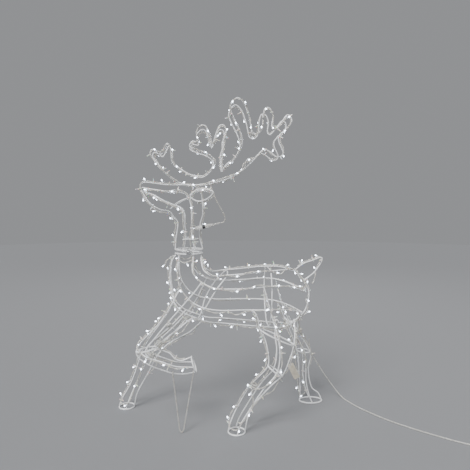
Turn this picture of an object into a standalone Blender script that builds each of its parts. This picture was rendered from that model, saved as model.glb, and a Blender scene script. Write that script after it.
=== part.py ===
"""Light up yard reindeer: a welded wire deer with clipped-on LED strings.

Metres, +Z up.  The deer faces -X; its own left side is -Y.  Wires are round
tubes; pieces that touch in the real object stand 0.3 mm or more apart here.
"""
import bmesh
import bpy
import math
from mathutils import Vector

# ---- driving dimensions (metres) ------------------------------------------
WIRE_R = 0.0020            # frame wire, 4 mm across
RING_R = 0.0023            # rings, 4.6 mm across
CABLE_R = 0.0013           # twin LED cable, 2.6 mm across the pair
CABLE_GAP = 0.0006         # clearance between a cable and the wire it follows
PROP_R = 0.0018            # ground prop wire
LEAD_R = 0.0020            # outdoor power lead, 4 mm across
COLLAR_X = -0.0395         # centre of the neck joint
COLLAR_R = 0.0435          # radius of both neck rings
COLLAR_Z = 0.548           # body-side ring
NECK_Z = 0.560             # head-side ring, 12 mm above
HOOF_R = 0.026             # radius of a hoof ring
HOOF_Z = RING_R * math.cos(math.pi / 6)   # its six-sided tube rests on a flat
BOLT_R = 0.0020            # M4 clamp bolt
CLAMP_R = 0.0085           # washer that clamps the two neck rings
BODY_STEP = 0.034          # spacing of samples along body wires
HEAD_STEP = 0.024          # and along the head outline
LEG_STEP = 0.042           # and along leg wires
SHIFT = Vector((-0.0720, -0.0050, 0.0))   # puts the outline's centre on x = 0

POLISHED_WHITE = ("white_coated_wire", (0.86, 0.87, 0.88, 1.0), 0.35, 0.0)
BARE_STEEL = ("zinc_plated_steel", (0.62, 0.63, 0.65, 1.0), 0.38, 1.0)
CLEAR_PVC = ("clear_pvc_cable", (0.83, 0.80, 0.72, 1.0), 0.30, 0.0)
WHITE_PLASTIC = ("white_plastic", (0.80, 0.80, 0.78, 1.0), 0.45, 0.0)
BLACK_PLASTIC = ("black_plastic", (0.03, 0.03, 0.032, 1.0), 0.45, 0.0)
TAG_FILM = ("beige_tag_film", (0.72, 0.66, 0.53, 1.0), 0.55, 0.0)


# ---- scene helpers ----------------------------------------------------------
def clear_scene():
    for ob in list(bpy.data.objects):
        bpy.data.objects.remove(ob, do_unlink=True)


def collection(name):
    col = bpy.data.collections.new(name)
    bpy.context.scene.collection.children.link(col)
    return col


def material(spec, node):
    name, colour, rough, metal = spec
    mat = bpy.data.materials.new(node + "_" + name)
    mat.use_nodes = True
    bsdf = mat.node_tree.nodes["Principled BSDF"]
    bsdf.inputs["Base Color"].default_value = colour
    bsdf.inputs["Roughness"].default_value = rough
    bsdf.inputs["Metallic"].default_value = metal
    return mat


# ---- curve maths --------------------------------------------------------------
def vec(points):
    return [Vector(p) for p in points]


def mirror(points):
    return [Vector((p[0], -p[1], p[2])) for p in points]


def catmull(points, step, cyclic=False):
    """Smooth path through the points, one sample about every step metres."""
    pts = vec(points)
    n = len(pts)
    out = []
    spans = n if cyclic else n - 1
    for i in range(spans):
        p1, p2 = pts[i], pts[(i + 1) % n]
        if cyclic:
            p0, p3 = pts[i - 1], pts[(i + 2) % n]
        else:
            p0 = pts[i - 1] if i else p1 * 2 - p2
            p3 = pts[i + 2] if i + 2 < n else p2 * 2 - p1
        d01 = max((p1 - p0).length, 1e-6) ** 0.5
        d12 = max((p2 - p1).length, 1e-6) ** 0.5
        d23 = max((p3 - p2).length, 1e-6) ** 0.5
        m1 = ((p1 - p0) / d01 - (p2 - p0) / (d01 + d12) + (p2 - p1) / d12) * d12
        m2 = ((p2 - p1) / d12 - (p3 - p1) / (d12 + d23) + (p3 - p2) / d23) * d12
        count = max(1, round((p2 - p1).length / step))
        for k in range(count):
            t = k / count
            out.append(p1 * (2 * t**3 - 3 * t**2 + 1) + m1 * (t**3 - 2 * t**2 + t)
                       + p2 * (3 * t**2 - 2 * t**3) + m2 * (t**3 - t**2))
    if not cyclic:
        out.append(pts[-1].copy())
    return out


def ring_points(centre, a, b, count):
    """Closed loop centre + a cos + b sin."""
    c, a, b = Vector(centre), Vector(a), Vector(b)
    return [c + a * math.cos(2 * math.pi * k / count) + b * math.sin(2 * math.pi * k / count)
            for k in range(count)]


def nearest_on(path, p):
    best, where = 1e9, path[0]
    for a, b in zip(path[:-1], path[1:]):
        ab = b - a
        t = min(1.0, max(0.0, (p - a).dot(ab) / max(ab.length_squared, 1e-12)))
        q = a + ab * t
        if (p - q).length < best:
            best, where = (p - q).length, q
    return where


def beside(path, axis, offset):
    """Path moved away from an axis line, square to its own direction."""
    out = []
    for i, p in enumerate(path):
        t = (path[min(i + 1, len(path) - 1)] - path[max(i - 1, 0)]).normalized()
        d = p - nearest_on(axis, p)
        d = d - t * d.dot(t)
        out.append(p + d.normalized() * offset)
    return out


# ---- solids -------------------------------------------------------------------
def tube(name, path, radius, spec, cyclic=False, sides=8):
    """Round wire: a poly curve with a bevel and closed ends."""
    cu = bpy.data.curves.new(name, "CURVE")
    cu.dimensions = "3D"
    cu.resolution_u = 1
    cu.render_resolution_u = 0
    cu.bevel_depth = radius
    cu.bevel_resolution = (sides - 4) // 2
    cu.use_fill_caps = not cyclic
    cu.twist_mode = "MINIMUM"
    sp = cu.splines.new("POLY")
    sp.points.add(len(path) - 1)
    for pt, p in zip(sp.points, path):
        q = Vector(p) + SHIFT
        pt.co = (q.x, q.y, q.z, 1.0)
    sp.use_cyclic_u = cyclic
    ob = bpy.data.objects.new(name, cu)
    cu.materials.append(material(spec, name))
    PART.objects.link(ob)
    return ob


def turned(name, origin, axis, profile, spec, sides=16):
    """Solid of revolution: profile is (distance along axis, radius) pairs, base to top."""
    points = [(radius, 0.0, distance) for distance, radius in reversed(profile)]
    closed = min(radius for _, radius in profile) > 0.0
    edges = [(i, i + 1) for i in range(len(points) - 1)]
    if closed:
        edges.append((len(points) - 1, 0))
    me = bpy.data.meshes.new(name)
    me.from_pydata(points, edges, [])
    me.materials.append(material(spec, name))
    ob = bpy.data.objects.new(name, me)
    ob.location = Vector(origin) + SHIFT
    ob.rotation_euler = Vector(axis).normalized().to_track_quat("Z", "Y").to_euler()
    screw = ob.modifiers.new("turn", "SCREW")
    screw.axis = "Z"
    screw.steps = sides
    screw.render_steps = sides
    screw.use_merge_vertices = True
    screw.merge_threshold = 0.00005
    PART.objects.link(ob)
    bpy.context.view_layer.update()
    return ob


def plate(name, outline, thick, origin, spec, tilt=(0.0, 0.0, 0.0)):
    """Flat plate: a filled 2D outline, extruded to its thickness."""
    cu = bpy.data.curves.new(name, "CURVE")
    cu.dimensions = "2D"
    cu.fill_mode = "BOTH"
    cu.extrude = thick / 2
    cu.resolution_u = 1
    sp = cu.splines.new("POLY")
    sp.points.add(len(outline) - 1)
    for pt, (x, y) in zip(sp.points, outline):
        pt.co = (x, y, 0.0, 1.0)
    sp.use_cyclic_u = True
    ob = bpy.data.objects.new(name, cu)
    ob.location = Vector(origin) + SHIFT
    ob.rotation_euler = tilt
    cu.materials.append(material(spec, name))
    PART.objects.link(ob)
    bpy.context.view_layer.update()
    return ob


def as_mesh(ob):
    """Replaces an object by its evaluated mesh, with the caps welded on."""
    dep = bpy.context.evaluated_depsgraph_get()
    me = bpy.data.meshes.new_from_object(ob.evaluated_get(dep))
    bm = bmesh.new()
    bm.from_mesh(me)
    bmesh.ops.remove_doubles(bm, verts=bm.verts, dist=0.00001)
    bmesh.ops.recalc_face_normals(bm, faces=bm.faces)
    bm.to_mesh(me)
    bm.free()
    name, place = ob.name, ob.matrix_world.copy()
    bpy.data.objects.remove(ob, do_unlink=True)
    new = bpy.data.objects.new(name, me)
    new.matrix_world = place
    PART.objects.link(new)
    return new


def weld(name, pieces, spec):
    """Joins crossing pieces into one body."""
    pieces = [as_mesh(p) for p in pieces]
    base = pieces[0]
    for other in pieces[1:]:
        mod = base.modifiers.new("weld", "BOOLEAN")
        mod.operation = "UNION"
        mod.solver = "EXACT"
        mod.object = other
        dep = bpy.context.evaluated_depsgraph_get()
        me = bpy.data.meshes.new_from_object(base.evaluated_get(dep))
        base.modifiers.clear()
        base.data = me
        bpy.data.objects.remove(other, do_unlink=True)
    base.name = name
    base.data.name = name
    base.data.materials.clear()
    base.data.materials.append(material(spec, name))
    return base


# ---- body cage ------------------------------------------------------------------
BACK = [(0.000, -0.018, 0.5435), (0.000, -0.030, 0.523), (0.010, -0.050, 0.495),
        (0.036, -0.060, 0.481), (0.080, -0.065, 0.484), (0.126, -0.066, 0.487),
        (0.201, -0.066, 0.494), (0.259, -0.045, 0.496), (0.300, -0.006, 0.490)]
SHOULDER = [(-0.025, -0.041, 0.5435), (-0.027, -0.060, 0.496), (-0.018, -0.066, 0.480),
            (0.000, -0.072, 0.464), (0.024, -0.080, 0.452), (0.045, -0.086, 0.446),
            (0.147, -0.092, 0.446), (0.195, -0.090, 0.450), (0.246, -0.080, 0.450),
            (0.298, -0.050, 0.438), (0.344, -0.006, 0.417)]
FLANK = [(-0.070, -0.030, 0.5435), (-0.073, -0.055, 0.500), (-0.071, -0.062, 0.466),
         (-0.060, -0.066, 0.438), (-0.041, -0.071, 0.413), (-0.015, -0.079, 0.395),
         (0.017, -0.086, 0.384), (0.057, -0.089, 0.379), (0.132, -0.089, 0.379),
         (0.211, -0.086, 0.377), (0.256, -0.070, 0.374), (0.301, -0.038, 0.362),
         (0.334, -0.006, 0.347)]
BELLY = [(-0.0815, -0.010, 0.5435), (-0.093, -0.015, 0.525), (-0.099, -0.018, 0.480),
         (-0.097, -0.020, 0.448), (-0.086, -0.024, 0.392), (-0.059, -0.027, 0.362),
         (-0.017, -0.030, 0.343), (0.020, -0.032, 0.330), (0.067, -0.034, 0.326),
         (0.172, -0.036, 0.315), (0.272, -0.027, 0.308), (0.300, -0.007, 0.318)]
RUMP = [(0.288, 0, 0.496), (0.304, 0, 0.489), (0.324, 0, 0.464), (0.344, 0, 0.440),
        (0.354, 0, 0.416), (0.352, 0, 0.387), (0.342, 0, 0.356), (0.322, 0, 0.333),
        (0.300, 0, 0.318), (0.284, 0, 0.312)]
TAIL = [(0.311, 0, 0.4935), (0.336, 0, 0.511), (0.366, 0, 0.521), (0.390, 0, 0.530),
        (0.397, 0, 0.529), (0.396, 0, 0.519), (0.385, 0, 0.499), (0.369, 0, 0.479),
        (0.339, 0, 0.457)]
FRONT_RIB = [(0.084, 0, 0.487), (0.077, -0.0600, 0.4775), (0.048, -0.0805, 0.4445),
             (0.0145, -0.0800, 0.389), (-0.002, -0.0290, 0.3435), (-0.010, 0, 0.336)]
REAR_RIB = [(0.2175, 0, 0.4985), (0.2175, -0.0600, 0.4895), (0.2175, -0.0815, 0.450),
            (0.2175, -0.0785, 0.380), (0.2175, -0.0340, 0.3175), (0.2175, 0, 0.310)]
BODY_AXIS = vec([(-0.0395, 0, 0.60), (-0.042, 0, 0.50), (-0.010, 0, 0.435), (0.05, 0, 0.410),
                 (0.20, 0, 0.405), (0.30, 0, 0.405)])


def loop_from_half(half):
    """Closed loop from the left half, first and last point in the mid-plane."""
    return vec(half) + [Vector((p[0], -p[1], p[2])) for p in reversed(half[1:-1])]


def body_cage():
    for name, pts in (("back", BACK), ("shoulder", SHOULDER), ("flank", FLANK),
                      ("belly", BELLY)):
        path = catmull(pts, BODY_STEP)
        tube(name + "_wire_left", path, WIRE_R, POLISHED_WHITE, sides=6)
        tube(name + "_wire_right", mirror(path), WIRE_R, POLISHED_WHITE, sides=6)
    tube("rump_arc", catmull(RUMP, 0.020), RING_R, POLISHED_WHITE, sides=6)
    tube("tail_loop", catmull(TAIL, 0.016), WIRE_R, POLISHED_WHITE, sides=6)
    tube("front_rib", catmull(loop_from_half(FRONT_RIB), 0.024, True), WIRE_R,
         POLISHED_WHITE, True, sides=6)
    tube("rear_rib", catmull(loop_from_half(REAR_RIB), 0.024, True), WIRE_R,
         POLISHED_WHITE, True, sides=6)
    tube("collar_ring", ring_points((COLLAR_X, 0, COLLAR_Z), (COLLAR_R, 0, 0),
                                    (0, COLLAR_R, 0), 24), RING_R, POLISHED_WHITE,
         True, sides=6)


# ---- legs ------------------------------------------------------------------------
EYE_BITE = 0.0014          # gap between the two wires' centres, less than their radii
EYE_Z = 0.345              # height of the hip eyelets
EYE_R = 0.0062             # eyelet radius to the wire centre
EYE_WIRE_R = 0.0016


def eyelet_centre(outer):
    """Centre of the hip eyelet, beside the leg's outer wire."""
    path = catmull(outer, 0.004)
    p = min(path, key=lambda q: abs(q.z - EYE_Z))
    q = path[path.index(p) + 1]
    t = (q - p).normalized()
    side = t.cross(Vector((0, 1, 0))).normalized()
    if side.x < 0:
        side = -side
    return p + side * (EYE_R + EYE_BITE)


def leg(name, front, outer, inner, back, rings):
    """Four wires gathered by rings; ends stop inside the hoof ring's own tube."""
    pieces = []
    for i, (centre, a, b, count) in enumerate(rings):
        pieces.append(tube(name + "_ring%d" % i, ring_points(centre, a, b, count),
                           RING_R, POLISHED_WHITE, True, sides=6))
    for key, pts in (("f", front), ("o", outer), ("i", inner), ("b", back)):
        pieces.append(tube(name + "_" + key, catmull(pts, LEG_STEP), WIRE_R, POLISHED_WHITE,
                           sides=6))
    centre = eyelet_centre(outer)
    pieces.append(tube(name + "_eye", ring_points(centre, (EYE_R, 0, 0), (0, 0, EYE_R), 10),
                       EYE_WIRE_R, POLISHED_WHITE, True, sides=6))
    return weld(name, pieces, POLISHED_WHITE)


RL_KNEE = (0.226, -0.098, 0.190)
REAR_LEFT = dict(
    front=[(0.148, -0.0955, 0.381), (0.161, -0.0965, 0.374), (0.173, -0.095, 0.350),
           (0.178, -0.092, 0.319), (0.194, -0.094, 0.290), (0.203, -0.097, 0.250),
           (0.2036, -0.098, 0.2068), (0.152, -0.098, 0.150), (0.114, -0.098, 0.090),
           (0.087, -0.097, 0.030), (0.0815, -0.097, 0.0034)],
    outer=[(0.190, -0.0985, 0.452), (0.199, -0.0995, 0.420), (0.208, -0.102, 0.384),
           (0.221, -0.112, 0.337), (0.232, -0.124, 0.293), (0.236, -0.125, 0.240),
           (0.226, -0.123, 0.190), (0.188, -0.123, 0.145), (0.148, -0.122, 0.086),
           (0.115, -0.121, 0.030), (0.107, -0.1225, 0.0034)],
    inner=[(0.238, -0.046, 0.324), (0.232, -0.056, 0.293), (0.236, -0.068, 0.245),
           (0.226, -0.073, 0.190), (0.188, -0.073, 0.145), (0.148, -0.073, 0.086),
           (0.115, -0.074, 0.030), (0.107, -0.0715, 0.0034)],
    back=[(0.294, -0.052, 0.338), (0.292, -0.075, 0.305), (0.286, -0.090, 0.267),
          (0.272, -0.096, 0.225), (0.2484, -0.098, 0.1732), (0.221, -0.098, 0.150),
          (0.192, -0.098, 0.121), (0.163, -0.098, 0.088), (0.143, -0.098, 0.050),
          (0.1325, -0.097, 0.0034)],
    rings=[((0.107, -0.097, HOOF_Z), (HOOF_R, 0, 0), (0, HOOF_R, 0), 14),
           (RL_KNEE, (0.0224, 0, -0.0168), (0, 0.025, 0), 12),
           ((0.232, -0.090, 0.293), (0.054, 0, -0.026), (0, 0.034, 0), 16)])

RR_KNEE = (0.3615, 0.104, 0.186)
REAR_RIGHT = dict(
    front=[(0.262, 0.0790, 0.368), (0.276, 0.084, 0.342), (0.290, 0.0925, 0.310),
           (0.314, 0.099, 0.255), (0.338, 0.104, 0.188), (0.345, 0.107, 0.150),
           (0.348, 0.109, 0.102), (0.353, 0.110, 0.040), (0.3515, 0.110, 0.0034)],
    outer=[(0.256, 0.0885, 0.448), (0.268, 0.092, 0.405), (0.288, 0.105, 0.345),
           (0.315, 0.1225, 0.286), (0.340, 0.127, 0.230), (0.3615, 0.1275, 0.186),
           (0.367, 0.131, 0.130), (0.369, 0.133, 0.080), (0.380, 0.135, 0.030),
           (0.391, 0.1355, 0.0034)],
    inner=[(0.297, 0.045, 0.325), (0.315, 0.0625, 0.286), (0.340, 0.076, 0.230),
           (0.3615, 0.0805, 0.186), (0.367, 0.085, 0.130), (0.369, 0.088, 0.080),
           (0.380, 0.085, 0.030), (0.391, 0.0845, 0.0034)],
    back=[(0.322, 0.050, 0.335), (0.334, 0.074, 0.300), (0.340, 0.0925, 0.262),
          (0.354, 0.100, 0.236), (0.370, 0.103, 0.213), (0.385, 0.104, 0.184),
          (0.389, 0.105, 0.163), (0.382, 0.108, 0.123), (0.387, 0.110, 0.074),
          (0.397, 0.110, 0.046), (0.419, 0.110, 0.028), (0.4305, 0.110, 0.0034)],
    rings=[((0.391, 0.110, HOOF_Z), (0.040, 0, 0), (0, HOOF_R, 0), 16),
           (RR_KNEE, (0.0235, 0, -0.002), (0, 0.0235, 0), 12),
           ((0.315, 0.0925, 0.286), (0.025, 0, -0.024), (0, 0.030, 0), 12)])

FR_KNEE = (-0.185, 0.1045, 0.181)
FRONT_RIGHT = dict(
    front=[(-0.068, 0.0705, 0.440), (-0.095, 0.082, 0.378), (-0.117, 0.095, 0.332),
           (-0.146, 0.100, 0.290), (-0.185, 0.103, 0.237), (-0.209, 0.1045, 0.193),
           (-0.222, 0.106, 0.150), (-0.247, 0.109, 0.084), (-0.280, 0.110, 0.025),
           (-0.2865, 0.110, 0.0034)],
    outer=[(0.018, 0.0870, 0.453), (-0.004, 0.0900, 0.406), (-0.022, 0.092, 0.372),
           (-0.044, 0.095, 0.340), (-0.095, 0.110, 0.282), (-0.152, 0.124, 0.226),
           (-0.185, 0.1275, 0.181), (-0.212, 0.131, 0.115), (-0.245, 0.134, 0.045),
           (-0.261, 0.1355, 0.0034)],
    inner=[(-0.035, 0.048, 0.342), (-0.075, 0.070, 0.290), (-0.145, 0.079, 0.220),
           (-0.185, 0.0815, 0.181), (-0.212, 0.086, 0.115), (-0.245, 0.086, 0.045),
           (-0.261, 0.0845, 0.0034)],
    back=[(0.006, 0.046, 0.318), (-0.041, 0.082, 0.268), (-0.088, 0.096, 0.240),
          (-0.126, 0.101, 0.214), (-0.161, 0.1045, 0.169), (-0.178, 0.106, 0.135),
          (-0.200, 0.109, 0.095), (-0.226, 0.110, 0.045), (-0.2355, 0.110, 0.0034)],
    rings=[((-0.261, 0.110, HOOF_Z), (HOOF_R, 0, 0), (0, HOOF_R, 0), 14),
           (FR_KNEE, (0.024, 0, -0.012), (0, 0.023, 0), 12)])

FL_KNEE = (-0.167, -0.0915, 0.264)
FRONT_LEFT = dict(
    front=[(-0.068, -0.0705, 0.440), (-0.104, -0.082, 0.376), (-0.126, -0.088, 0.345),
           (-0.164, -0.0905, 0.306), (-0.186, -0.0912, 0.282), (-0.197, -0.0915, 0.258),
           (-0.191, -0.0915, 0.240), (-0.178, -0.0915, 0.229), (-0.152, -0.091, 0.212),
           (-0.117, -0.090, 0.198), (-0.088, -0.090, 0.188), (-0.052, -0.090, 0.185),
           (-0.0165, -0.090, 0.1905)],
    outer=[(0.000, -0.0800, 0.4640), (-0.022, -0.0845, 0.435), (-0.045, -0.088, 0.409),
           (-0.066, -0.0915, 0.385), (-0.098, -0.098, 0.350), (-0.135, -0.108, 0.308),
           (-0.167, -0.1135, 0.264), (-0.158, -0.1135, 0.247), (-0.140, -0.113, 0.239),
           (-0.115, -0.1125, 0.230), (-0.078, -0.113, 0.217), (-0.026, -0.1145, 0.2135)],
    inner=[(-0.050, -0.047, 0.372), (-0.084, -0.060, 0.338), (-0.125, -0.067, 0.302),
           (-0.167, -0.0695, 0.264), (-0.158, -0.070, 0.247), (-0.140, -0.070, 0.239),
           (-0.115, -0.069, 0.229), (-0.078, -0.068, 0.216), (-0.026, -0.0655, 0.2135)],
    back=[(-0.010, -0.0430, 0.3445), (-0.030, -0.060, 0.349), (-0.070, -0.078, 0.322),
          (-0.104, -0.088, 0.299), (-0.137, -0.0915, 0.270), (-0.118, -0.091, 0.260),
          (-0.096, -0.0905, 0.250), (-0.081, -0.090, 0.233), (-0.062, -0.090, 0.227),
          (-0.0315, -0.090, 0.2375)],
    rings=[((-0.024, -0.090, 0.214), (-0.0075, 0, 0.0239), (0, 0.025, 0), 14),
           (FL_KNEE, (0.030, 0, 0.006), (0, 0.022, 0), 12)])


LEGS = {"rear_left": REAR_LEFT, "rear_right": REAR_RIGHT, "front_right": FRONT_RIGHT,
        "front_left": FRONT_LEFT}


# ---- prop, neck, head ----------------------------------------------------------------
SHIN_Y = -0.090                # middle of the raised shin, where the prop hangs
HOOK_X = (-0.088, -0.026)      # the prop's two hooks along the shin's lower wire
HOOK_Z = (0.1880, 0.1887)
HOOK_R = WIRE_R + PROP_R + 0.0012
PROP_TIP = Vector((-0.062, SHIN_Y, 0.0023))
PROP_BEND = (0.010, 0.003)     # distances from the tip where its bend starts and tightens
PROP_NOSE = 0.0005             # half the width of the bend


def prop_side(x, z, outward):
    """One hook, from its free end round the shin wire, and its stem down to the bend."""
    hook = [Vector((x, SHIN_Y + HOOK_R * math.cos(a), z + HOOK_R * math.sin(a)))
            for a in (math.radians(180 - 45 * k) for k in range(7))]
    stem = hook[-1]
    run = (stem - PROP_TIP).normalized()
    start, tight = PROP_BEND
    return hook + [stem.lerp(PROP_TIP, 0.3), stem.lerp(PROP_TIP, 0.65), PROP_TIP + run * start,
                   PROP_TIP + run * tight + Vector((outward * PROP_NOSE, 0, 0))]


def ground_prop():
    """V-shaped prop whose two hooks wrap the raised shin's lower wire."""
    fore = prop_side(HOOK_X[0], HOOK_Z[0], -1)
    aft = prop_side(HOOK_X[1], HOOK_Z[1], 1)
    tube("ground_prop", fore + [PROP_TIP] + aft[::-1], PROP_R, BARE_STEEL, sides=8)


OUTLINE = [(-0.083, 0, 0.563), (-0.081, 0, 0.592), (-0.077, 0, 0.618), (-0.075, 0, 0.648),
           (-0.088, 0, 0.665), (-0.100, 0, 0.681), (-0.127, 0, 0.687), (-0.153, 0, 0.700),
           (-0.169, 0, 0.715), (-0.184, 0, 0.741), (-0.191, 0, 0.760), (-0.189, 0, 0.771),
           (-0.175, 0, 0.774), (-0.140, 0, 0.770), (-0.102, 0, 0.766), (-0.051, 0, 0.766),
           (-0.020, 0, 0.762), (-0.002, 0, 0.745), (0.004, 0, 0.715), (0.005, 0, 0.673),
           (-0.003, 0, 0.641), (-0.005, 0, 0.604), (0.004, 0, 0.563)]
CHEEK = [(-0.179, -0.0060, 0.744), (-0.149, -0.024, 0.733), (-0.119, -0.033, 0.716),
         (-0.086, -0.035, 0.702), (-0.065, -0.036, 0.694), (-0.054, -0.036, 0.675),
         (-0.053, -0.036, 0.642), (-0.051, -0.0385, 0.600), (-0.0560, -0.0402, 0.563)]
BROW = [(-0.184, -0.0070, 0.757), (-0.160, -0.020, 0.752), (-0.134, -0.030, 0.748),
        (-0.099, -0.037, 0.743), (-0.075, -0.041, 0.745), (-0.052, -0.042, 0.739),
        (-0.038, -0.042, 0.722), (-0.031, -0.041, 0.700), (-0.029, -0.040, 0.666),
        (-0.030, -0.040, 0.635), (-0.028, -0.0405, 0.600), (-0.0200, -0.0388, 0.563)]
EAR = [(-0.033, -0.0485, 0.728), (-0.014, -0.054, 0.747), (0.012, -0.064, 0.750),
       (0.037, -0.076, 0.740), (0.020, -0.068, 0.721), (-0.010, -0.055, 0.713)]
HEAD_AXIS = vec([(-0.04, 0, 0.54), (-0.038, 0, 0.70), (-0.07, 0, 0.735), (-0.16, 0, 0.745)])

ANTLER = [(-0.050, 0.766), (-0.012, 0.765), (0.040, 0.775), (0.089, 0.790), (0.132, 0.813),
          (0.166, 0.843), (0.196, 0.874), (0.216, 0.867), (0.236, 0.852), (0.253, 0.855),
          (0.257, 0.866), (0.244, 0.897), (0.243, 0.912), (0.264, 0.938), (0.283, 0.958),
          (0.280, 0.978), (0.270, 0.982), (0.250, 0.958), (0.228, 0.936), (0.221, 0.946),
          (0.224, 0.978), (0.213, 1.002), (0.201, 1.002), (0.193, 0.975), (0.190, 0.938),
          (0.176, 0.922), (0.163, 0.925), (0.150, 0.972), (0.134, 1.015), (0.114, 1.032),
          (0.097, 1.016), (0.092, 0.998), (0.103, 0.968), (0.121, 0.932), (0.129, 0.900),
          (0.122, 0.872), (0.102, 0.845), (0.080, 0.829), (0.067, 0.812), (0.066, 0.835),
          (0.063, 0.862), (0.071, 0.882), (0.070, 0.905), (0.078, 0.932), (0.072, 0.948),
          (0.060, 0.948), (0.048, 0.925), (0.036, 0.890), (0.028, 0.918), (0.014, 0.946),
          (0.002, 0.948), (-0.013, 0.930), (-0.008, 0.897), (-0.026, 0.899), (-0.035, 0.884),
          (-0.012, 0.872), (0.018, 0.862), (0.038, 0.846), (0.038, 0.824), (0.022, 0.803),
          (0.004, 0.793), (-0.030, 0.796), (-0.060, 0.812), (-0.088, 0.834), (-0.092, 0.856),
          (-0.095, 0.880), (-0.104, 0.892), (-0.112, 0.876), (-0.124, 0.858), (-0.137, 0.868),
          (-0.151, 0.872), (-0.156, 0.860), (-0.140, 0.838), (-0.126, 0.814), (-0.104, 0.796),
          (-0.080, 0.778)]


def antler_y(x, z):
    reach = min(1.0, math.hypot(x + 0.06, z - 0.768) / 0.28)
    return -(0.021 + 0.025 * reach)


def head():
    tube("neck_ring", ring_points((COLLAR_X, 0, NECK_Z), (COLLAR_R, 0, 0), (0, COLLAR_R, 0), 24),
         RING_R, POLISHED_WHITE, True, sides=6)
    tube("head_outline_wire", catmull(OUTLINE, HEAD_STEP), WIRE_R, POLISHED_WHITE, sides=6)
    for side, flip in (("left", False), ("right", True)):
        for name, pts, step in (("cheek_wire_", CHEEK, 0.018), ("brow_wire_", BROW, 0.018)):
            path = catmull(pts, step)
            tube(name + side, mirror(path) if flip else path, WIRE_R, POLISHED_WHITE, sides=6)
        ear = catmull(EAR, 0.011, True)
        tube("ear_loop_" + side, mirror(ear) if flip else ear, WIRE_R, POLISHED_WHITE, True,
             sides=6)
        bar = vec([(-0.057, -0.0440, 0.594), (-0.040, -0.0460, 0.5955), (-0.021, -0.0460, 0.594)])
        tube("neck_bar_" + side, mirror(bar) if flip else bar, WIRE_R, POLISHED_WHITE, sides=6)
        ant = [Vector((x, antler_y(x, z), z)) for x, z in ANTLER]
        ant = catmull(ant, 0.040, True)
        tube("antler_" + side, mirror(ant) if flip else ant, WIRE_R, POLISHED_WHITE, True,
             sides=6)
    strut = [(-0.0420, -0.0350, 0.7235), (-0.072, -0.026, 0.7100), (-0.098, 0, 0.6895),
             (-0.072, 0.026, 0.7100), (-0.0420, 0.0350, 0.7235)]
    tube("cheek_strut", catmull(strut, 0.018), WIRE_R, POLISHED_WHITE)


# ---- fasteners ---------------------------------------------------------------------
def neck_clamp(side, s):
    """Bolt with a broad washer head inside the rings, wing nut outside."""
    o = Vector((COLLAR_X, 0, (COLLAR_Z + NECK_Z) / 2))
    inner = COLLAR_R - RING_R - 0.0013
    outer = COLLAR_R + RING_R + 0.0003
    turned("neck_bolt_" + side, o, (0, s, 0),
           [(inner - 0.0045, 0.0), (inner - 0.0045, 0.0035), (inner - 0.0018, 0.0035),
            (inner - 0.0018, CLAMP_R), (inner, CLAMP_R), (inner, BOLT_R),
            (outer + 0.0100, BOLT_R), (outer + 0.0100, 0.0)], BARE_STEEL, 12)
    seat = o + Vector((0, s * outer, 0))
    nut = turned("hub_" + side, seat, (0, s, 0),
                 [(0.0, BOLT_R + 0.0004), (0.0, CLAMP_R), (0.0014, CLAMP_R), (0.0014, 0.0045),
                  (0.0070, 0.0038), (0.0070, BOLT_R + 0.0004)], BARE_STEEL, 14)
    wing = [(0.0034, 0.0026), (0.0125, 0.0060), (0.0131, 0.0105), (0.0095, 0.0105),
            (0.0034, 0.0062)]
    pieces = [nut]
    for k in (-1, 1):
        outline = [(k * x, s * y) for x, y in wing]
        pieces.append(plate("wing", outline, 0.0018, seat, BARE_STEEL))
    weld("neck_wing_nut_" + side, pieces, BARE_STEEL)


def hip_bolt(name, centre, s):
    """Short carriage bolt through a leg's eyelet."""
    turned(name, centre, (0, s, 0),
           [(-0.0060, 0.0), (-0.0060, 0.0022), (0.0022, 0.0022), (0.0022, 0.0052),
            (0.0036, 0.0046), (0.0044, 0.0030), (0.0044, 0.0)], BARE_STEEL, 12)


# ---- light strings ------------------------------------------------------------------
CABLE_OFF = WIRE_R + CABLE_R + CABLE_GAP     # cable centre to wire centre


def round_the_corner(a, b, axis, push):
    """Waypoint between two runs, moved out so the cable clears what lies between."""
    mid = (Vector(a) + Vector(b)) / 2
    out = mid - nearest_on(axis, mid)
    return mid + out.normalized() * push


def body_strings():
    """Each side has one cable: belly, flank, shoulder and back wires in turn."""
    runs = [beside(catmull(p, BODY_STEP), BODY_AXIS, CABLE_OFF)[1:-1]
            for p in (BELLY, FLANK, SHOULDER, BACK)]
    belly, flank, shoulder, back = runs
    side = Vector((0, -(RING_R + CABLE_R + 0.0020), 0))
    path = belly + [Vector((0.303, -0.0155, 0.3150)), Vector(RUMP[7]) + side]
    path += list(reversed(flank))
    path += [round_the_corner(flank[0], shoulder[0], BODY_AXIS, 0.004)]
    path += shoulder + [Vector(RUMP[3]) + side, Vector(RUMP[2]) + side,
                        Vector((0.314, -0.0150, 0.4900))]
    path += list(reversed(back))
    tube("body_lights_left", path, CABLE_R, CLEAR_PVC, sides=6)
    tube("body_lights_right", mirror(path), CABLE_R, CLEAR_PVC, sides=6)


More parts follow.
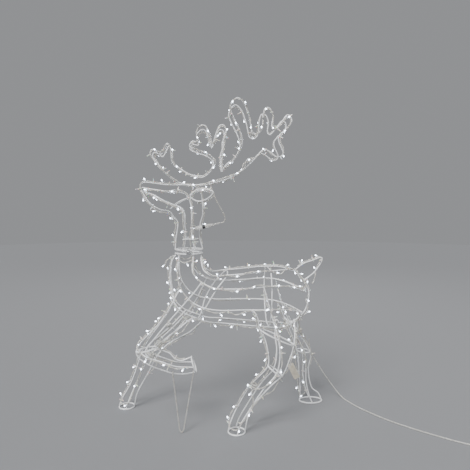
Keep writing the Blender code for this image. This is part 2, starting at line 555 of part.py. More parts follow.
LEG_AXES = {
    "rear_left": [(0.215, -0.080, 0.40), (0.228, -0.090, 0.30), RL_KNEE, (0.107, -0.097, 0.0)],
    "rear_right": [(0.285, 0.070, 0.38), (0.315, 0.0925, 0.286), RR_KNEE, (0.372, 0.110, 0.06),
                   (0.391, 0.110, 0.0)],
    "front_right": [(-0.045, 0.065, 0.40), (-0.10, 0.090, 0.29), FR_KNEE, (-0.261, 0.110, 0.0)],
    "front_left": [(-0.045, -0.065, 0.40), (-0.10, -0.080, 0.325), FL_KNEE,
                   (-0.150, -0.091, 0.243), (-0.024, -0.090, 0.214)],
}
LEG_RUNS = {"rear_left": ("front", "outer"), "rear_right": ("front", "outer"),
            "front_right": ("front", "inner"), "front_left": ("front", "outer")}
KNEE_TOP, KNEE_BOTTOM = 0.285, 0.249      # the raised leg's cable crosses between these
KNEE_CROSSING = [(-0.196, -0.1040, 0.284), (-0.184, -0.1210, 0.266), (-0.166, -0.1230, 0.246)]


def leg_strings():
    """One cable a leg, down one wire and up the next, passing outside the hoof end."""
    for name, spec in LEGS.items():
        axis = vec(LEG_AXES[name])
        down, up = [beside(catmull(spec[key], LEG_STEP), axis, CABLE_OFF)[1:-1]
                    for key in LEG_RUNS[name]]
        if name == "front_left":
            down = [p for p in down if p.z > KNEE_TOP]
            up = [p for p in up if p.z < KNEE_BOTTOM]
            path = down + vec(KNEE_CROSSING) + up
        else:
            turn = round_the_corner(down[-1], up[-1], axis, 0.008)
            path = down + [turn] + list(reversed(up))
        tube(name + "_leg_lights", path, CABLE_R, CLEAR_PVC, sides=6)


def antler_strings():
    """One cable an antler, on the outer face of its outline."""
    for side, flip in (("left", False), ("right", True)):
        pts = [Vector((x, antler_y(x, z) - CABLE_OFF, z)) for x, z in ANTLER[::2]]
        path = catmull(pts, 0.050)
        tube("antler_lights_" + side, mirror(path) if flip else path, CABLE_R, CLEAR_PVC,
             sides=6)


def head_string():
    path = beside(catmull(OUTLINE, HEAD_STEP), HEAD_AXIS, CABLE_OFF)
    tube("head_lights", path[1:-1], CABLE_R, CLEAR_PVC, sides=6)


# ---- connector on the neck -----------------------------------------------------------
PLUG_AT = Vector((-0.0030, -0.0165, 0.6300))   # socket face, where the plug goes in
PLUG_DIR = Vector((0.972, 0.0, 0.235))          # direction in which the plug pulls out


SOCKET_LENGTH = 0.0180
SLEEVE_END = 0.0440             # where the plug's clear sleeve ends
LEAD_GAP = 0.0006               # clear distance from a cable's end to its housing


def connector():
    turned("connector_socket", PLUG_AT, PLUG_DIR,
           [(-SOCKET_LENGTH, 0.0), (-SOCKET_LENGTH, 0.0026), (-0.0150, 0.0044), (0.0, 0.0044),
            (0.0, 0.0)],
           WHITE_PLASTIC, 12)
    turned("connector_nut", PLUG_AT, PLUG_DIR,
           [(-0.0135, 0.0048), (-0.0135, 0.0072), (0.0065, 0.0072), (0.0065, 0.0048)],
           WHITE_PLASTIC, 14)
    turned("connector_plug", PLUG_AT, PLUG_DIR,
           [(0.0004, 0.0), (0.0004, 0.0043), (0.0075, 0.0043), (0.0075, 0.0058),
            (0.0155, 0.0058), (0.0155, 0.0)], BLACK_PLASTIC, 12)
    turned("plug_sleeve", PLUG_AT, PLUG_DIR,
           [(0.0158, 0.0), (0.0158, 0.0056), (0.0250, 0.0046), (SLEEVE_END, 0.0024),
            (SLEEVE_END, 0.0)], CLEAR_PVC, 12)
    end = PLUG_AT + PLUG_DIR * (SLEEVE_END + LEAD_GAP)
    loop = [end, end + PLUG_DIR * 0.010, (0.071, -0.0165, 0.648), (0.0765, -0.018, 0.657),
            (0.074, -0.021, 0.668), (0.060, -0.027, 0.694), (0.046, -0.031, 0.720),
            (0.037, -0.033, 0.740), (0.031, -0.034, 0.758)]
    tube("plug_lead", catmull(loop, 0.012), CABLE_R, CLEAR_PVC, sides=6)
    start = PLUG_AT - PLUG_DIR * (SOCKET_LENGTH + LEAD_GAP)
    feed = [(-0.030, -0.012, 0.500), (-0.031, -0.012, 0.530), (-0.033, -0.013, 0.565),
            (-0.036, -0.014, 0.600), (-0.033, -0.016, 0.619), start]
    tube("neck_feed_cable", catmull(feed, 0.014), CABLE_R, CLEAR_PVC, sides=6)


# ---- power lead ------------------------------------------------------------------------
COIL_AT = (0.845, -0.275)       # centre of the coil on the ground
COIL_MEAN_R = 0.025             # middle of the turns, 12.5 lead diameters across
COIL_WIDTH = 0.024              # six turns side by side
COIL_HEIGHT = 0.020             # five layers
GROUND = 0.0003                 # everything on the ground stands this far clear of it
ADAPTER_SIZE = (0.046, 0.040, 0.0314)
ADAPTER_REACH = 0.060           # from the coil's outside to the adapter's middle
PIN_R, PIN_LENGTH, PIN_SPACING = 0.0020, 0.022, 0.019
PIN_ROOT = 0.003                # length of a pin inside the body
LEAD = [(0.3960, 0.1150, 0.1660), (0.4020, 0.1156, 0.1570), (0.4180, 0.1180, 0.1320),
        (0.4480, 0.1230, 0.0860), (0.4800, 0.1290, 0.0420), (0.5000, 0.1250, 0.0160),
        (0.5120, 0.1120, 0.0040), (0.5240, 0.0820, 0.0023), (0.5380, 0.0450, 0.0023),
        (0.5620, 0.0020, 0.0023), (0.6000, -0.0560, 0.0023), (0.6520, -0.1160, 0.0023),
        (0.7150, -0.1760, 0.0023), (0.7650, -0.2170, 0.0023), (0.7960, -0.2350, 0.0023),
        (0.8260, -0.2400, 0.0023)]


def power_lead():
    tube("power_lead", catmull(LEAD, 0.011), LEAD_R, CLEAR_PVC, sides=8)
    inner, outer = COIL_MEAN_R - COIL_WIDTH / 2, COIL_MEAN_R + COIL_WIDTH / 2
    turned("lead_coil", (COIL_AT[0], COIL_AT[1], 0.0), (0, 0, 1),
           [(GROUND, inner), (GROUND, outer), (GROUND + COIL_HEIGHT, outer),
            (GROUND + COIL_HEIGHT, inner)], CLEAR_PVC, 32)
    start, onward = Vector(LEAD[0]), (Vector(LEAD[1]) - Vector(LEAD[0])).normalized()
    turned("lead_gland", start - onward * 0.0003, -onward,
           [(0.0, 0.0), (0.0, 0.0030), (0.0050, 0.0044), (0.0140, 0.0044), (0.0140, 0.0)],
           WHITE_PLASTIC, 12)
    adapter(Vector((COIL_AT[0] + outer + ADAPTER_REACH, COIL_AT[1] + outer - LEAD_R, 0.0)))


def adapter(foot):
    """Plug-in adapter with two round pins, lying beside the coil on its flat face."""
    centre = foot + Vector((0, 0, GROUND + ADAPTER_SIZE[2] / 2))
    bpy.ops.mesh.primitive_cube_add(size=1.0, location=centre + SHIFT)
    pieces = [bpy.context.object]
    pieces[0].scale = ADAPTER_SIZE
    for side in (-1, 1):
        at = centre + Vector((ADAPTER_SIZE[0] / 2 + PIN_LENGTH / 2 - PIN_ROOT,
                              side * PIN_SPACING / 2, 0))
        bpy.ops.mesh.primitive_cylinder_add(vertices=10, radius=PIN_R, depth=PIN_LENGTH,
                                            location=at + SHIFT, rotation=(0, math.pi / 2, 0))
        pieces.append(bpy.context.object)
    for ob in pieces:
        for col in list(ob.users_collection):
            col.objects.unlink(ob)
        PART.objects.link(ob)
    bpy.context.view_layer.update()
    weld("adapter_plug", pieces, BLACK_PLASTIC)
    turned("adapter_gland", foot + Vector((-ADAPTER_SIZE[0] / 2 - GROUND, 0, 0.0100)), (-1, 0, 0),
           [(0.0, 0.0), (0.0, 0.0045), (0.0030, 0.0045), (0.0235, 0.0026), (0.0235, 0.0)],
           BLACK_PLASTIC, 12)


TAG_AT = (0.3215, 0.0760, 0.1230)
TAG_TILT = (math.radians(90), math.radians(-27), 0.0)
TAG_THICK = 0.0006


def cable_tag():
    """Blank film tag with cut corners, hanging beside the rear right leg."""
    w, h, r = 0.011, 0.030, 0.003          # half width, half length, corner cut
    corners = [(-w, -h + r), (-w + r, -h), (w - r, -h), (w, -h + r), (w, h - r), (w - r, h),
               (-w + r, h), (-w, h - r)]
    plate("cable_tag", corners, TAG_THICK, TAG_AT, TAG_FILM, TAG_TILT)


# ---- moving groups -------------------------------------------------------------------
def hang_on(pivot_name, at, nodes):
    """Parents the nodes to an empty that stands on their joint's axis."""
    pivot = bpy.data.objects.new(pivot_name, None)
    pivot.location = Vector(at) + SHIFT
    pivot.empty_display_size = 0.02
    PART.objects.link(pivot)
    bpy.context.view_layer.update()
    for node in nodes:
        ob = PART.objects[node]
        ob.parent = pivot
        ob.matrix_parent_inverse = pivot.matrix_world.inverted()


HEAD_NODES = ["neck_ring", "head_outline_wire", "cheek_strut", "head_lights",
              "connector_socket", "plug_lead"]
HEAD_PAIRS = ["cheek_wire_", "brow_wire_", "ear_loop_", "neck_bar_", "antler_",
              "antler_lights_", "neck_bolt_"]


def moving_groups():
    pairs = [stem + side for stem in HEAD_PAIRS for side in ("left", "right")]
    hang_on("head_slide", (COLLAR_X, 0, NECK_Z), HEAD_NODES + pairs)
    hang_on("plug_slide", PLUG_AT, ["connector_plug", "plug_sleeve"])
    hang_on("nut_axis", PLUG_AT, ["connector_nut"])
    hang_on("prop_axis", (HOOK_X[0], SHIN_Y, HOOK_Z[0]), ["ground_prop"])


# ---- build ---------------------------------------------------------------------------
clear_scene()
PART = collection("light_up_yard_reindeer")
body_cage()
for leg_name, leg_spec in LEGS.items():
    leg(leg_name + "_leg", **leg_spec)
ground_prop()
head()
neck_clamp("left", -1)
neck_clamp("right", 1)
for leg_name, leg_spec in LEGS.items():
    hip_bolt(leg_name + "_hip_bolt", eyelet_centre(leg_spec["outer"]),
             -1 if "left" in leg_name else 1)
body_strings()
leg_strings()
antler_strings()
head_string()
connector()
power_lead()
cable_tag()
moving_groups()
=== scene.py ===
"""Looks of a light up yard reindeer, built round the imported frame.

Metres, +Z up, the deer faces -X and its left side is -Y.  Routes are given in
the deer's own frame; SHIFT, read from the collar ring, moves them into the
row's frame.
"""
import math
import random

import bmesh
import bpy
import numpy as np
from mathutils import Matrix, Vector
from mathutils.kdtree import KDTree


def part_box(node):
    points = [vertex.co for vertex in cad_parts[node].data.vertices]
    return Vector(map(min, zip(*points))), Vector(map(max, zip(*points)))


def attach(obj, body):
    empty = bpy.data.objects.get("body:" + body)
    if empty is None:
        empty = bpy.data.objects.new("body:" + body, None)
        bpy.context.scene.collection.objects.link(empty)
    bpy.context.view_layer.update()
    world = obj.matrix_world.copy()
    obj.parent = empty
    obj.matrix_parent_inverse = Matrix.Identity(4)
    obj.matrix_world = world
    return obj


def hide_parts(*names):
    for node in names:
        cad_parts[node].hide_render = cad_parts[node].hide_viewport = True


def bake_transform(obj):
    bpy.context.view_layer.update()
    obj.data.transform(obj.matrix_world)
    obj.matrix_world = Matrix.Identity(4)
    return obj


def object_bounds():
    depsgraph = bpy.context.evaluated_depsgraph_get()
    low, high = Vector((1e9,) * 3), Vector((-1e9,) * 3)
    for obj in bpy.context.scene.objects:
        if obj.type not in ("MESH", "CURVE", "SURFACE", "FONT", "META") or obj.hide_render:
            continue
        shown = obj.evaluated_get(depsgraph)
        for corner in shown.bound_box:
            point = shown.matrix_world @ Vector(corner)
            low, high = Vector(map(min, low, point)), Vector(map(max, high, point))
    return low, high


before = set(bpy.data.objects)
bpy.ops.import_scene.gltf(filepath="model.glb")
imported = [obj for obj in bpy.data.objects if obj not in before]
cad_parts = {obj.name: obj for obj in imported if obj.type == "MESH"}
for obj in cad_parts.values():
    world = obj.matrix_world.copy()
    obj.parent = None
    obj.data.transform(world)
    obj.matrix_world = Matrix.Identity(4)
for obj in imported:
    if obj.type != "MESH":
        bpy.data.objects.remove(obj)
cad_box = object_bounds()
rng = random.Random(11)

# ---- driving dimensions (metres) ----
WIRE_R = 0.0020            # frame wire, 4 mm
RING_R = 0.0023            # ring wire, 4.6 mm
PROP_R = 0.0018            # bare wire of the ground prop
LEAD_R = 0.0020            # power lead
STRAND_R = 0.00105         # one clear PVC conductor of the LED strings
CORE_R = 0.00040           # its tinned core
PAIR_HALF = 0.00112        # half the distance between the two conductors
TWIST = 0.046              # length of one turn of the pair
CABLE_OFF = 0.0041         # pair's centre from the wire it follows
LAMP_STEP = 0.069          # spacing of the lamps along a string
TIE_STEP = 0.074           # spacing of the cable ties
COLLAR_X, COLLAR_R, COLLAR_Z, NECK_Z = -0.0395, 0.0435, 0.548, 0.560
HOOF_R, HOOF_Z = 0.026, RING_R
EYE_R, EYE_WIRE_R, EYE_Z, EYE_BITE = 0.0062, 0.0016, 0.345, 0.0014
COARSE, MEDIUM, FINE = 0.005, 0.004, 0.003     # spacing of the points along a path
WIRE_SIDES = 14           # facets round a wire
RING_POINTS, LEG_RING_POINTS, EYE_POINTS = 96, 56, 28

ring_low, ring_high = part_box("collar_ring")
SHIFT = (ring_low + ring_high) / 2 - Vector((COLLAR_X, 0.0, COLLAR_Z))
CAMERA_AT = Vector((0.0, -1.42, 0.68))
CAMERA_YAW, CAMERA_PITCH = math.radians(4.4), math.radians(3.0)
LENS, SENSOR_WIDTH = 33.7, 36.0
SIDED = {"left": np.array([1.0, 1.0, 1.0]), "right": np.array([1.0, -1.0, 1.0])}


def mm(*points):
    """Points given in millimetres, in metres."""
    return [tuple(c / 1000 for c in p) for p in points]


# ---- routes, in the deer's own frame ----
# the trunk's left wires, from the collar back; the right ones mirror them
BACK = mm((0, -18, 543.5), (0, -30, 523), (10, -50, 495), (36, -60, 481), (80, -65, 484),
          (126, -66, 487), (201, -66, 494), (259, -45, 496), (300, -6, 490))
SHOULDER = mm((-25, -41, 543.5), (-27, -60, 496), (-18, -66, 480), (0, -72, 464), (24, -80, 452),
              (45, -86, 446), (147, -92, 446), (195, -90, 450), (246, -80, 450), (298, -50, 438),
              (344, -6, 417))
FLANK = mm((-70, -30, 543.5), (-73, -55, 500), (-71, -62, 466), (-60, -66, 438), (-41, -71, 413),
           (-15, -79, 395), (17, -86, 384), (57, -89, 379), (132, -89, 379), (211, -86, 377),
           (256, -70, 374), (301, -38, 362), (334, -6, 347))
BELLY = mm((-81.5, -10, 543.5), (-93, -15, 525), (-99, -18, 480), (-97, -20, 448), (-86, -24, 392),
           (-59, -27, 362), (-17, -30, 343), (20, -32, 330), (67, -34, 326), (172, -36, 315),
           (272, -27, 308), (300, -7, 318))
# arcs in the mid-plane, and the left halves of the two ribs
RUMP = mm((288, 0, 496), (304, 0, 489), (324, 0, 464), (344, 0, 440), (354, 0, 416), (352, 0, 387),
          (342, 0, 356), (322, 0, 333), (300, 0, 318), (284, 0, 312))
TAIL = mm((311, 0, 493.5), (336, 0, 511), (366, 0, 521), (390, 0, 530), (397, 0, 529),
          (396, 0, 519), (385, 0, 499), (369, 0, 479), (339, 0, 457))
FRONT_RIB = mm((84, 0, 487), (77, -60, 477.5), (48, -80.5, 444.5), (14.5, -80, 389),
               (-2, -29, 343.5), (-10, 0, 336))
REAR_RIB = mm((217.5, 0, 498.5), (217.5, -60, 489.5), (217.5, -81.5, 450), (217.5, -78.5, 380),
              (217.5, -34, 317.5), (217.5, 0, 310))
# middle line of neck and trunk, which the lamps of the body strings point away from
BODY_AXIS = mm((-39.5, 0, 600), (-42, 0, 500), (-10, 0, 435), (50, 0, 410), (200, 0, 405),
               (300, 0, 405))
# legs: four long wires from the trunk down, and rings as (centre, half axis, half axis)
RL_KNEE = (0.226, -0.098, 0.190)
REAR_LEFT = dict(
    front=mm((148, -95.5, 381), (161, -96.5, 374), (173, -95, 350), (178, -92, 319),
             (194, -94, 290), (203, -97, 250), (203.6, -98, 206.8), (152, -98, 150), (114, -98, 90),
             (87, -97, 30), (81.5, -97, 3.4)),
    outer=mm((190, -98.5, 452), (199, -99.5, 420), (208, -102, 384), (221, -112, 337),
             (232, -124, 293), (236, -125, 240), (226, -123, 190), (188, -123, 145),
             (148, -122, 86), (115, -121, 30), (107, -122.5, 3.4)),
    inner=mm((238, -46, 324), (232, -56, 293), (236, -68, 245), (226, -73, 190), (188, -73, 145),
             (148, -73, 86), (115, -74, 30), (107, -71.5, 3.4)),
    back=mm((294, -52, 338), (292, -75, 305), (286, -90, 267), (272, -96, 225), (248.4, -98, 173.2),
            (221, -98, 150), (192, -98, 121), (163, -98, 88), (143, -98, 50), (132.5, -97, 3.4)),
    rings=[((0.107, -0.097, HOOF_Z), (HOOF_R, 0, 0), (0, HOOF_R, 0)),
           (RL_KNEE, (0.0224, 0, -0.0168), (0, 0.025, 0)),
           ((0.232, -0.090, 0.293), (0.054, 0, -0.026), (0, 0.034, 0))])
RR_KNEE = (0.3615, 0.104, 0.186)
REAR_RIGHT = dict(
    front=mm((262, 79, 368), (276, 84, 342), (290, 92.5, 310), (314, 99, 255), (338, 104, 188),
             (345, 107, 150), (348, 109, 102), (353, 110, 40), (351.5, 110, 3.4)),
    outer=mm((256, 88.5, 448), (268, 92, 405), (288, 105, 345), (315, 122.5, 286), (340, 127, 230),
             (361.5, 127.5, 186), (367, 131, 130), (369, 133, 80), (380, 135, 30),
             (391, 135.5, 3.4)),
    inner=mm((297, 45, 325), (315, 62.5, 286), (340, 76, 230), (361.5, 80.5, 186), (367, 85, 130),
             (369, 88, 80), (380, 85, 30), (391, 84.5, 3.4)),
    back=mm((322, 50, 335), (334, 74, 300), (340, 92.5, 262), (354, 100, 236), (370, 103, 213),
            (385, 104, 184), (389, 105, 163), (382, 108, 123), (387, 110, 74), (397, 110, 46),
            (419, 110, 28), (430.5, 110, 3.4)),
    rings=[((0.391, 0.110, HOOF_Z), (0.040, 0, 0), (0, HOOF_R, 0)),
           (RR_KNEE, (0.0235, 0, -0.002), (0, 0.0235, 0)),
           ((0.315, 0.0925, 0.286), (0.025, 0, -0.024), (0, 0.030, 0))])
FR_KNEE = (-0.185, 0.1045, 0.181)
FRONT_RIGHT = dict(
    front=mm((-68, 70.5, 440), (-95, 82, 378), (-117, 95, 332), (-146, 100, 290), (-185, 103, 237),
             (-209, 104.5, 193), (-222, 106, 150), (-247, 109, 84), (-280, 110, 25),
             (-286.5, 110, 3.4)),
    outer=mm((18, 87, 453), (-4, 90, 406), (-22, 92, 372), (-44, 95, 340), (-95, 110, 282),
             (-152, 124, 226), (-185, 127.5, 181), (-212, 131, 115), (-245, 134, 45),
             (-261, 135.5, 3.4)),
    inner=mm((-35, 48, 342), (-75, 70, 290), (-145, 79, 220), (-185, 81.5, 181), (-212, 86, 115),
             (-245, 86, 45), (-261, 84.5, 3.4)),
    back=mm((6, 46, 318), (-41, 82, 268), (-88, 96, 240), (-126, 101, 214), (-161, 104.5, 169),
            (-178, 106, 135), (-200, 109, 95), (-226, 110, 45), (-235.5, 110, 3.4)),
    rings=[((-0.261, 0.110, HOOF_Z), (HOOF_R, 0, 0), (0, HOOF_R, 0)),
           (FR_KNEE, (0.024, 0, -0.012), (0, 0.023, 0))])
FL_KNEE = (-0.167, -0.0915, 0.264)
FRONT_LEFT = dict(
    front=mm((-68, -70.5, 440), (-104, -82, 376), (-126, -88, 345), (-164, -90.5, 306),
             (-186, -91.2, 282), (-197, -91.5, 258), (-191, -91.5, 240), (-178, -91.5, 229),
             (-152, -91, 212), (-117, -90, 198), (-88, -90, 188), (-52, -90, 185),
             (-16.5, -90, 190.5)),
    outer=mm((0, -80, 464), (-22, -84.5, 435), (-45, -88, 409), (-66, -91.5, 385), (-98, -98, 350),
             (-135, -108, 308), (-167, -113.5, 264), (-158, -113.5, 247), (-140, -113, 239),
             (-115, -112.5, 230), (-78, -113, 217), (-26, -114.5, 213.5)),
    inner=mm((-50, -47, 372), (-84, -60, 338), (-125, -67, 302), (-167, -69.5, 264),
             (-158, -70, 247), (-140, -70, 239), (-115, -69, 229), (-78, -68, 216),
             (-26, -65.5, 213.5)),
    back=mm((-10, -43, 344.5), (-30, -60, 349), (-70, -78, 322), (-104, -88, 299),
            (-137, -91.5, 270), (-118, -91, 260), (-96, -90.5, 250), (-81, -90, 233),
            (-62, -90, 227), (-31.5, -90, 237.5)),
    rings=[((-0.024, -0.090, 0.214), (-0.0075, 0, 0.0239), (0, 0.025, 0)),
           (FL_KNEE, (0.030, 0, 0.006), (0, 0.022, 0))])
LEGS = {"rear_left": REAR_LEFT, "rear_right": REAR_RIGHT, "front_right": FRONT_RIGHT,
        "front_left": FRONT_LEFT}
SHIN_Y = -0.090                # middle of the raised shin, where the prop hangs
HOOK_X = (-0.088, -0.026)      # the prop's two hooks along the shin's lower wire
HOOK_Z = (0.1880, 0.1887)
HOOK_R = WIRE_R + PROP_R + 0.0012
PROP_TIP = (-0.062, SHIN_Y, 0.0023)
# head: outline in the mid-plane, left cheek, brow and ear wires
OUTLINE = mm((-83, 0, 563), (-81, 0, 592), (-77, 0, 618), (-75, 0, 648), (-88, 0, 665),
             (-100, 0, 681), (-127, 0, 687), (-153, 0, 700), (-169, 0, 715), (-184, 0, 741),
             (-191, 0, 760), (-189, 0, 771), (-175, 0, 774), (-140, 0, 770), (-102, 0, 766),
             (-51, 0, 766), (-20, 0, 762), (-2, 0, 745), (4, 0, 715), (5, 0, 673), (-3, 0, 641),
             (-5, 0, 604), (4, 0, 563))
CHEEK = mm((-179, -6, 744), (-149, -24, 733), (-119, -33, 716), (-86, -35, 702), (-65, -36, 694),
           (-54, -36, 675), (-53, -36, 642), (-51, -38.5, 600), (-56, -40.2, 563))
BROW = mm((-184, -7, 757), (-160, -20, 752), (-134, -30, 748), (-99, -37, 743), (-75, -41, 745),
          (-52, -42, 739), (-38, -42, 722), (-31, -41, 700), (-29, -40, 666), (-30, -40, 635),
          (-28, -40.5, 600), (-20, -38.8, 563))
EAR = mm((-33, -48.5, 728), (-14, -54, 747), (12, -64, 750), (37, -76, 740), (20, -68, 721),
         (-10, -55, 713))
# middle line of the neck and muzzle
HEAD_AXIS = mm((-40, 0, 540), (-38, 0, 700), (-70, 0, 735), (-160, 0, 745))
# outline of one flat antler, as (x, z)
ANTLER = mm((-50, 766), (-12, 765), (40, 775), (89, 790), (132, 813), (166, 843), (196, 874),
            (216, 867), (236, 852), (253, 855), (257, 866), (244, 897), (243, 912), (264, 938),
            (283, 958), (280, 978), (270, 982), (250, 958), (228, 936), (221, 946), (224, 978),
            (213, 1002), (201, 1002), (193, 975), (190, 938), (176, 922), (163, 925), (150, 972),
            (134, 1015), (114, 1032), (97, 1016), (92, 998), (103, 968), (121, 932), (129, 900),
            (122, 872), (102, 845), (80, 829), (67, 812), (66, 835), (63, 862), (71, 882),
            (70, 905), (78, 932), (72, 948), (60, 948), (48, 925), (36, 890), (28, 918), (14, 946),
            (2, 948), (-13, 930), (-8, 897), (-26, 899), (-35, 884), (-12, 872), (18, 862),
            (38, 846), (38, 824), (22, 803), (4, 793), (-30, 796), (-60, 812), (-88, 834),
            (-92, 856), (-95, 880), (-104, 892), (-112, 876), (-124, 858), (-137, 868), (-151, 872),
            (-156, 860), (-140, 838), (-126, 814), (-104, 796), (-80, 778))
# middle line of each leg, and the wires that its light string runs along
LEG_AXES = {
    "rear_left": [(0.215, -0.080, 0.40), (0.228, -0.090, 0.30), RL_KNEE, (0.107, -0.097, 0.0)],
    "rear_right": [(0.285, 0.070, 0.38), (0.315, 0.0925, 0.286), RR_KNEE, (0.372, 0.110, 0.06),
                   (0.391, 0.110, 0.0)],
    "front_right": [(-0.045, 0.065, 0.40), (-0.10, 0.090, 0.29), FR_KNEE, (-0.261, 0.110, 0.0)],
    "front_left": [(-0.045, -0.065, 0.40), (-0.10, -0.080, 0.325), FL_KNEE,
                   (-0.150, -0.091, 0.243), (-0.024, -0.090, 0.214)],
}
LEG_RUNS = {"rear_left": ("front", "outer"), "rear_right": ("front", "outer"),
            "front_right": ("front", "inner"), "front_left": ("front", "outer")}
PLUG_AT = (-0.0030, -0.0165, 0.6300)   # socket face, where the plug goes in
PLUG_DIR = (0.972, 0.0, 0.235)          # direction in which the plug pulls out
LEAD = mm((396, 115, 166), (402, 115.6, 157), (418, 118, 132), (448, 123, 86), (480, 129, 42),
          (500, 125, 16), (512, 112, 4), (524, 82, 2.3), (538, 45, 2.3), (562, 2, 2.3),
          (600, -56, 2.3), (652, -116, 2.3), (715, -176, 2.3), (765, -217, 2.3), (796, -235, 2.3),
          (826, -240, 2.3))
TAG_AT = (0.3215, 0.0760, 0.1230)
# the raised leg's string leaves the front wire above the knee, crosses and goes on below it
KNEE_TOP, KNEE_BOTTOM = 0.285, 0.249
KNEE_CROSSING = mm((-196, -104, 284), (-184, -121, 266), (-166, -123, 246))
# short bars across the neck and between the cheeks
NECK_BAR = mm((-57, -44, 594), (-40, -46, 595.5), (-21, -46, 594))
STRUT = mm((-42, -35, 723.5), (-72, -26, 710), (-98, 0, 689.5), (-72, 26, 710), (-42, 35, 723.5))


# ---- curve maths ----
def smooth(points, step, cyclic=False):
    """Centripetal Catmull-Rom path through the points, one sample about every step."""
    pts = [Vector(p) for p in points]
    n = len(pts)
    out = []
    for i in range(n if cyclic else n - 1):
        p1, p2 = pts[i], pts[(i + 1) % n]
        if cyclic:
            p0, p3 = pts[i - 1], pts[(i + 2) % n]
        else:
            p0 = pts[i - 1] if i else p1 * 2 - p2
            p3 = pts[i + 2] if i + 2 < n else p2 * 2 - p1
        d01, d12, d23 = (max((b - a).length, 1e-6) ** 0.5 for a, b in ((p0, p1), (p1, p2), (p2, p3)))
        m1 = ((p1 - p0) / d01 - (p2 - p0) / (d01 + d12) + (p2 - p1) / d12) * d12
        m2 = ((p2 - p1) / d12 - (p3 - p1) / (d12 + d23) + (p3 - p2) / d23) * d12
        count = max(1, round((p2 - p1).length / step))
        for k in range(count):
            t = k / count
            out.append(p1 * (2 * t**3 - 3 * t**2 + 1) + m1 * (t**3 - 2 * t**2 + t)
                       + p2 * (3 * t**2 - 2 * t**3) + m2 * (t**3 - t**2))
    if not cyclic:
        out.append(pts[-1].copy())
    return np.array([tuple(p) for p in out])


def unit(v):
    v = np.asarray(v, float)
    return v / max(float(np.linalg.norm(v)), 1e-12)


def rows_unit(v):
    return v / np.maximum(np.linalg.norm(v, axis=1, keepdims=True), 1e-12)


def square_to(v, t):
    """Each row of v without its part along the same row of t."""
    return v - t * np.sum(v * t, axis=1, keepdims=True)


def lengths(path):
    """Distance along the path to each of its points."""
    return np.concatenate([[0.0], np.cumsum(np.linalg.norm(np.diff(path, axis=0), axis=1))])


def at_length(path, s):
    """Points of the path at the distances s."""
    run = lengths(path)
    return np.stack([np.interp(s, run, path[:, k]) for k in range(3)], axis=-1)


def respaced(path, step):
    total = lengths(path)[-1]
    return at_length(path, np.linspace(0.0, total, max(2, round(total / step) + 1)))


def tangents(path, cyclic=False):
    if cyclic:
        return rows_unit(np.roll(path, -1, axis=0) - np.roll(path, 1, axis=0))
    return rows_unit(np.gradient(path, axis=0))


def carried(path, cyclic=False):
    """Tangent, normal and binormal at each point, with no needless twist."""
    t = tangents(path, cyclic)
    side = np.array([0.0, 0.0, 1.0]) if abs(t[0][2]) < 0.9 else np.array([1.0, 0.0, 0.0])
    normal = [unit(np.cross(t[0], side))]
    for k in range(1, len(t)):
        normal.append(unit(normal[-1] - t[k] * np.dot(normal[-1], t[k])))
    n = np.array(normal)
    b = np.cross(t, n)
    if cyclic:
        last = n[-1] - t[0] * np.dot(n[-1], t[0])
        gap = math.atan2(np.dot(last, b[0]), np.dot(last, n[0]))
        turn = -gap * np.arange(len(t))[:, None] / len(t)
        n, b = n * np.cos(turn) + b * np.sin(turn), b * np.cos(turn) - n * np.sin(turn)
    return t, n, b


def ring(centre, a, b, count):
    """Ellipse with the half axes a and b."""
    k = np.arange(count)[:, None] * 2 * math.pi / count
    return np.array(centre) + np.array(a) * np.cos(k) + np.array(b) * np.sin(k)


# ---- mesh building ----
def quads(rows, sides, cyclic=False, first=0):
    """Faces between neighbouring rows of sides points; cyclic joins the last row to the first."""
    faces = []
    for i in range(rows if cyclic else rows - 1):
        low, high = first + i * sides, first + (i + 1) % rows * sides
        for q in range(sides):
            r = (q + 1) % sides
            faces.append((low + q, low + r, high + r, high + q))
    return faces


def enlist(ob, body, replaces=()):
    """Links the object, puts it on its body and hides the CAD nodes it stands for."""
    bpy.context.scene.collection.objects.link(ob)
    if body:
        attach(ob, body)
    if replaces:
        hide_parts(*replaces)
    return ob


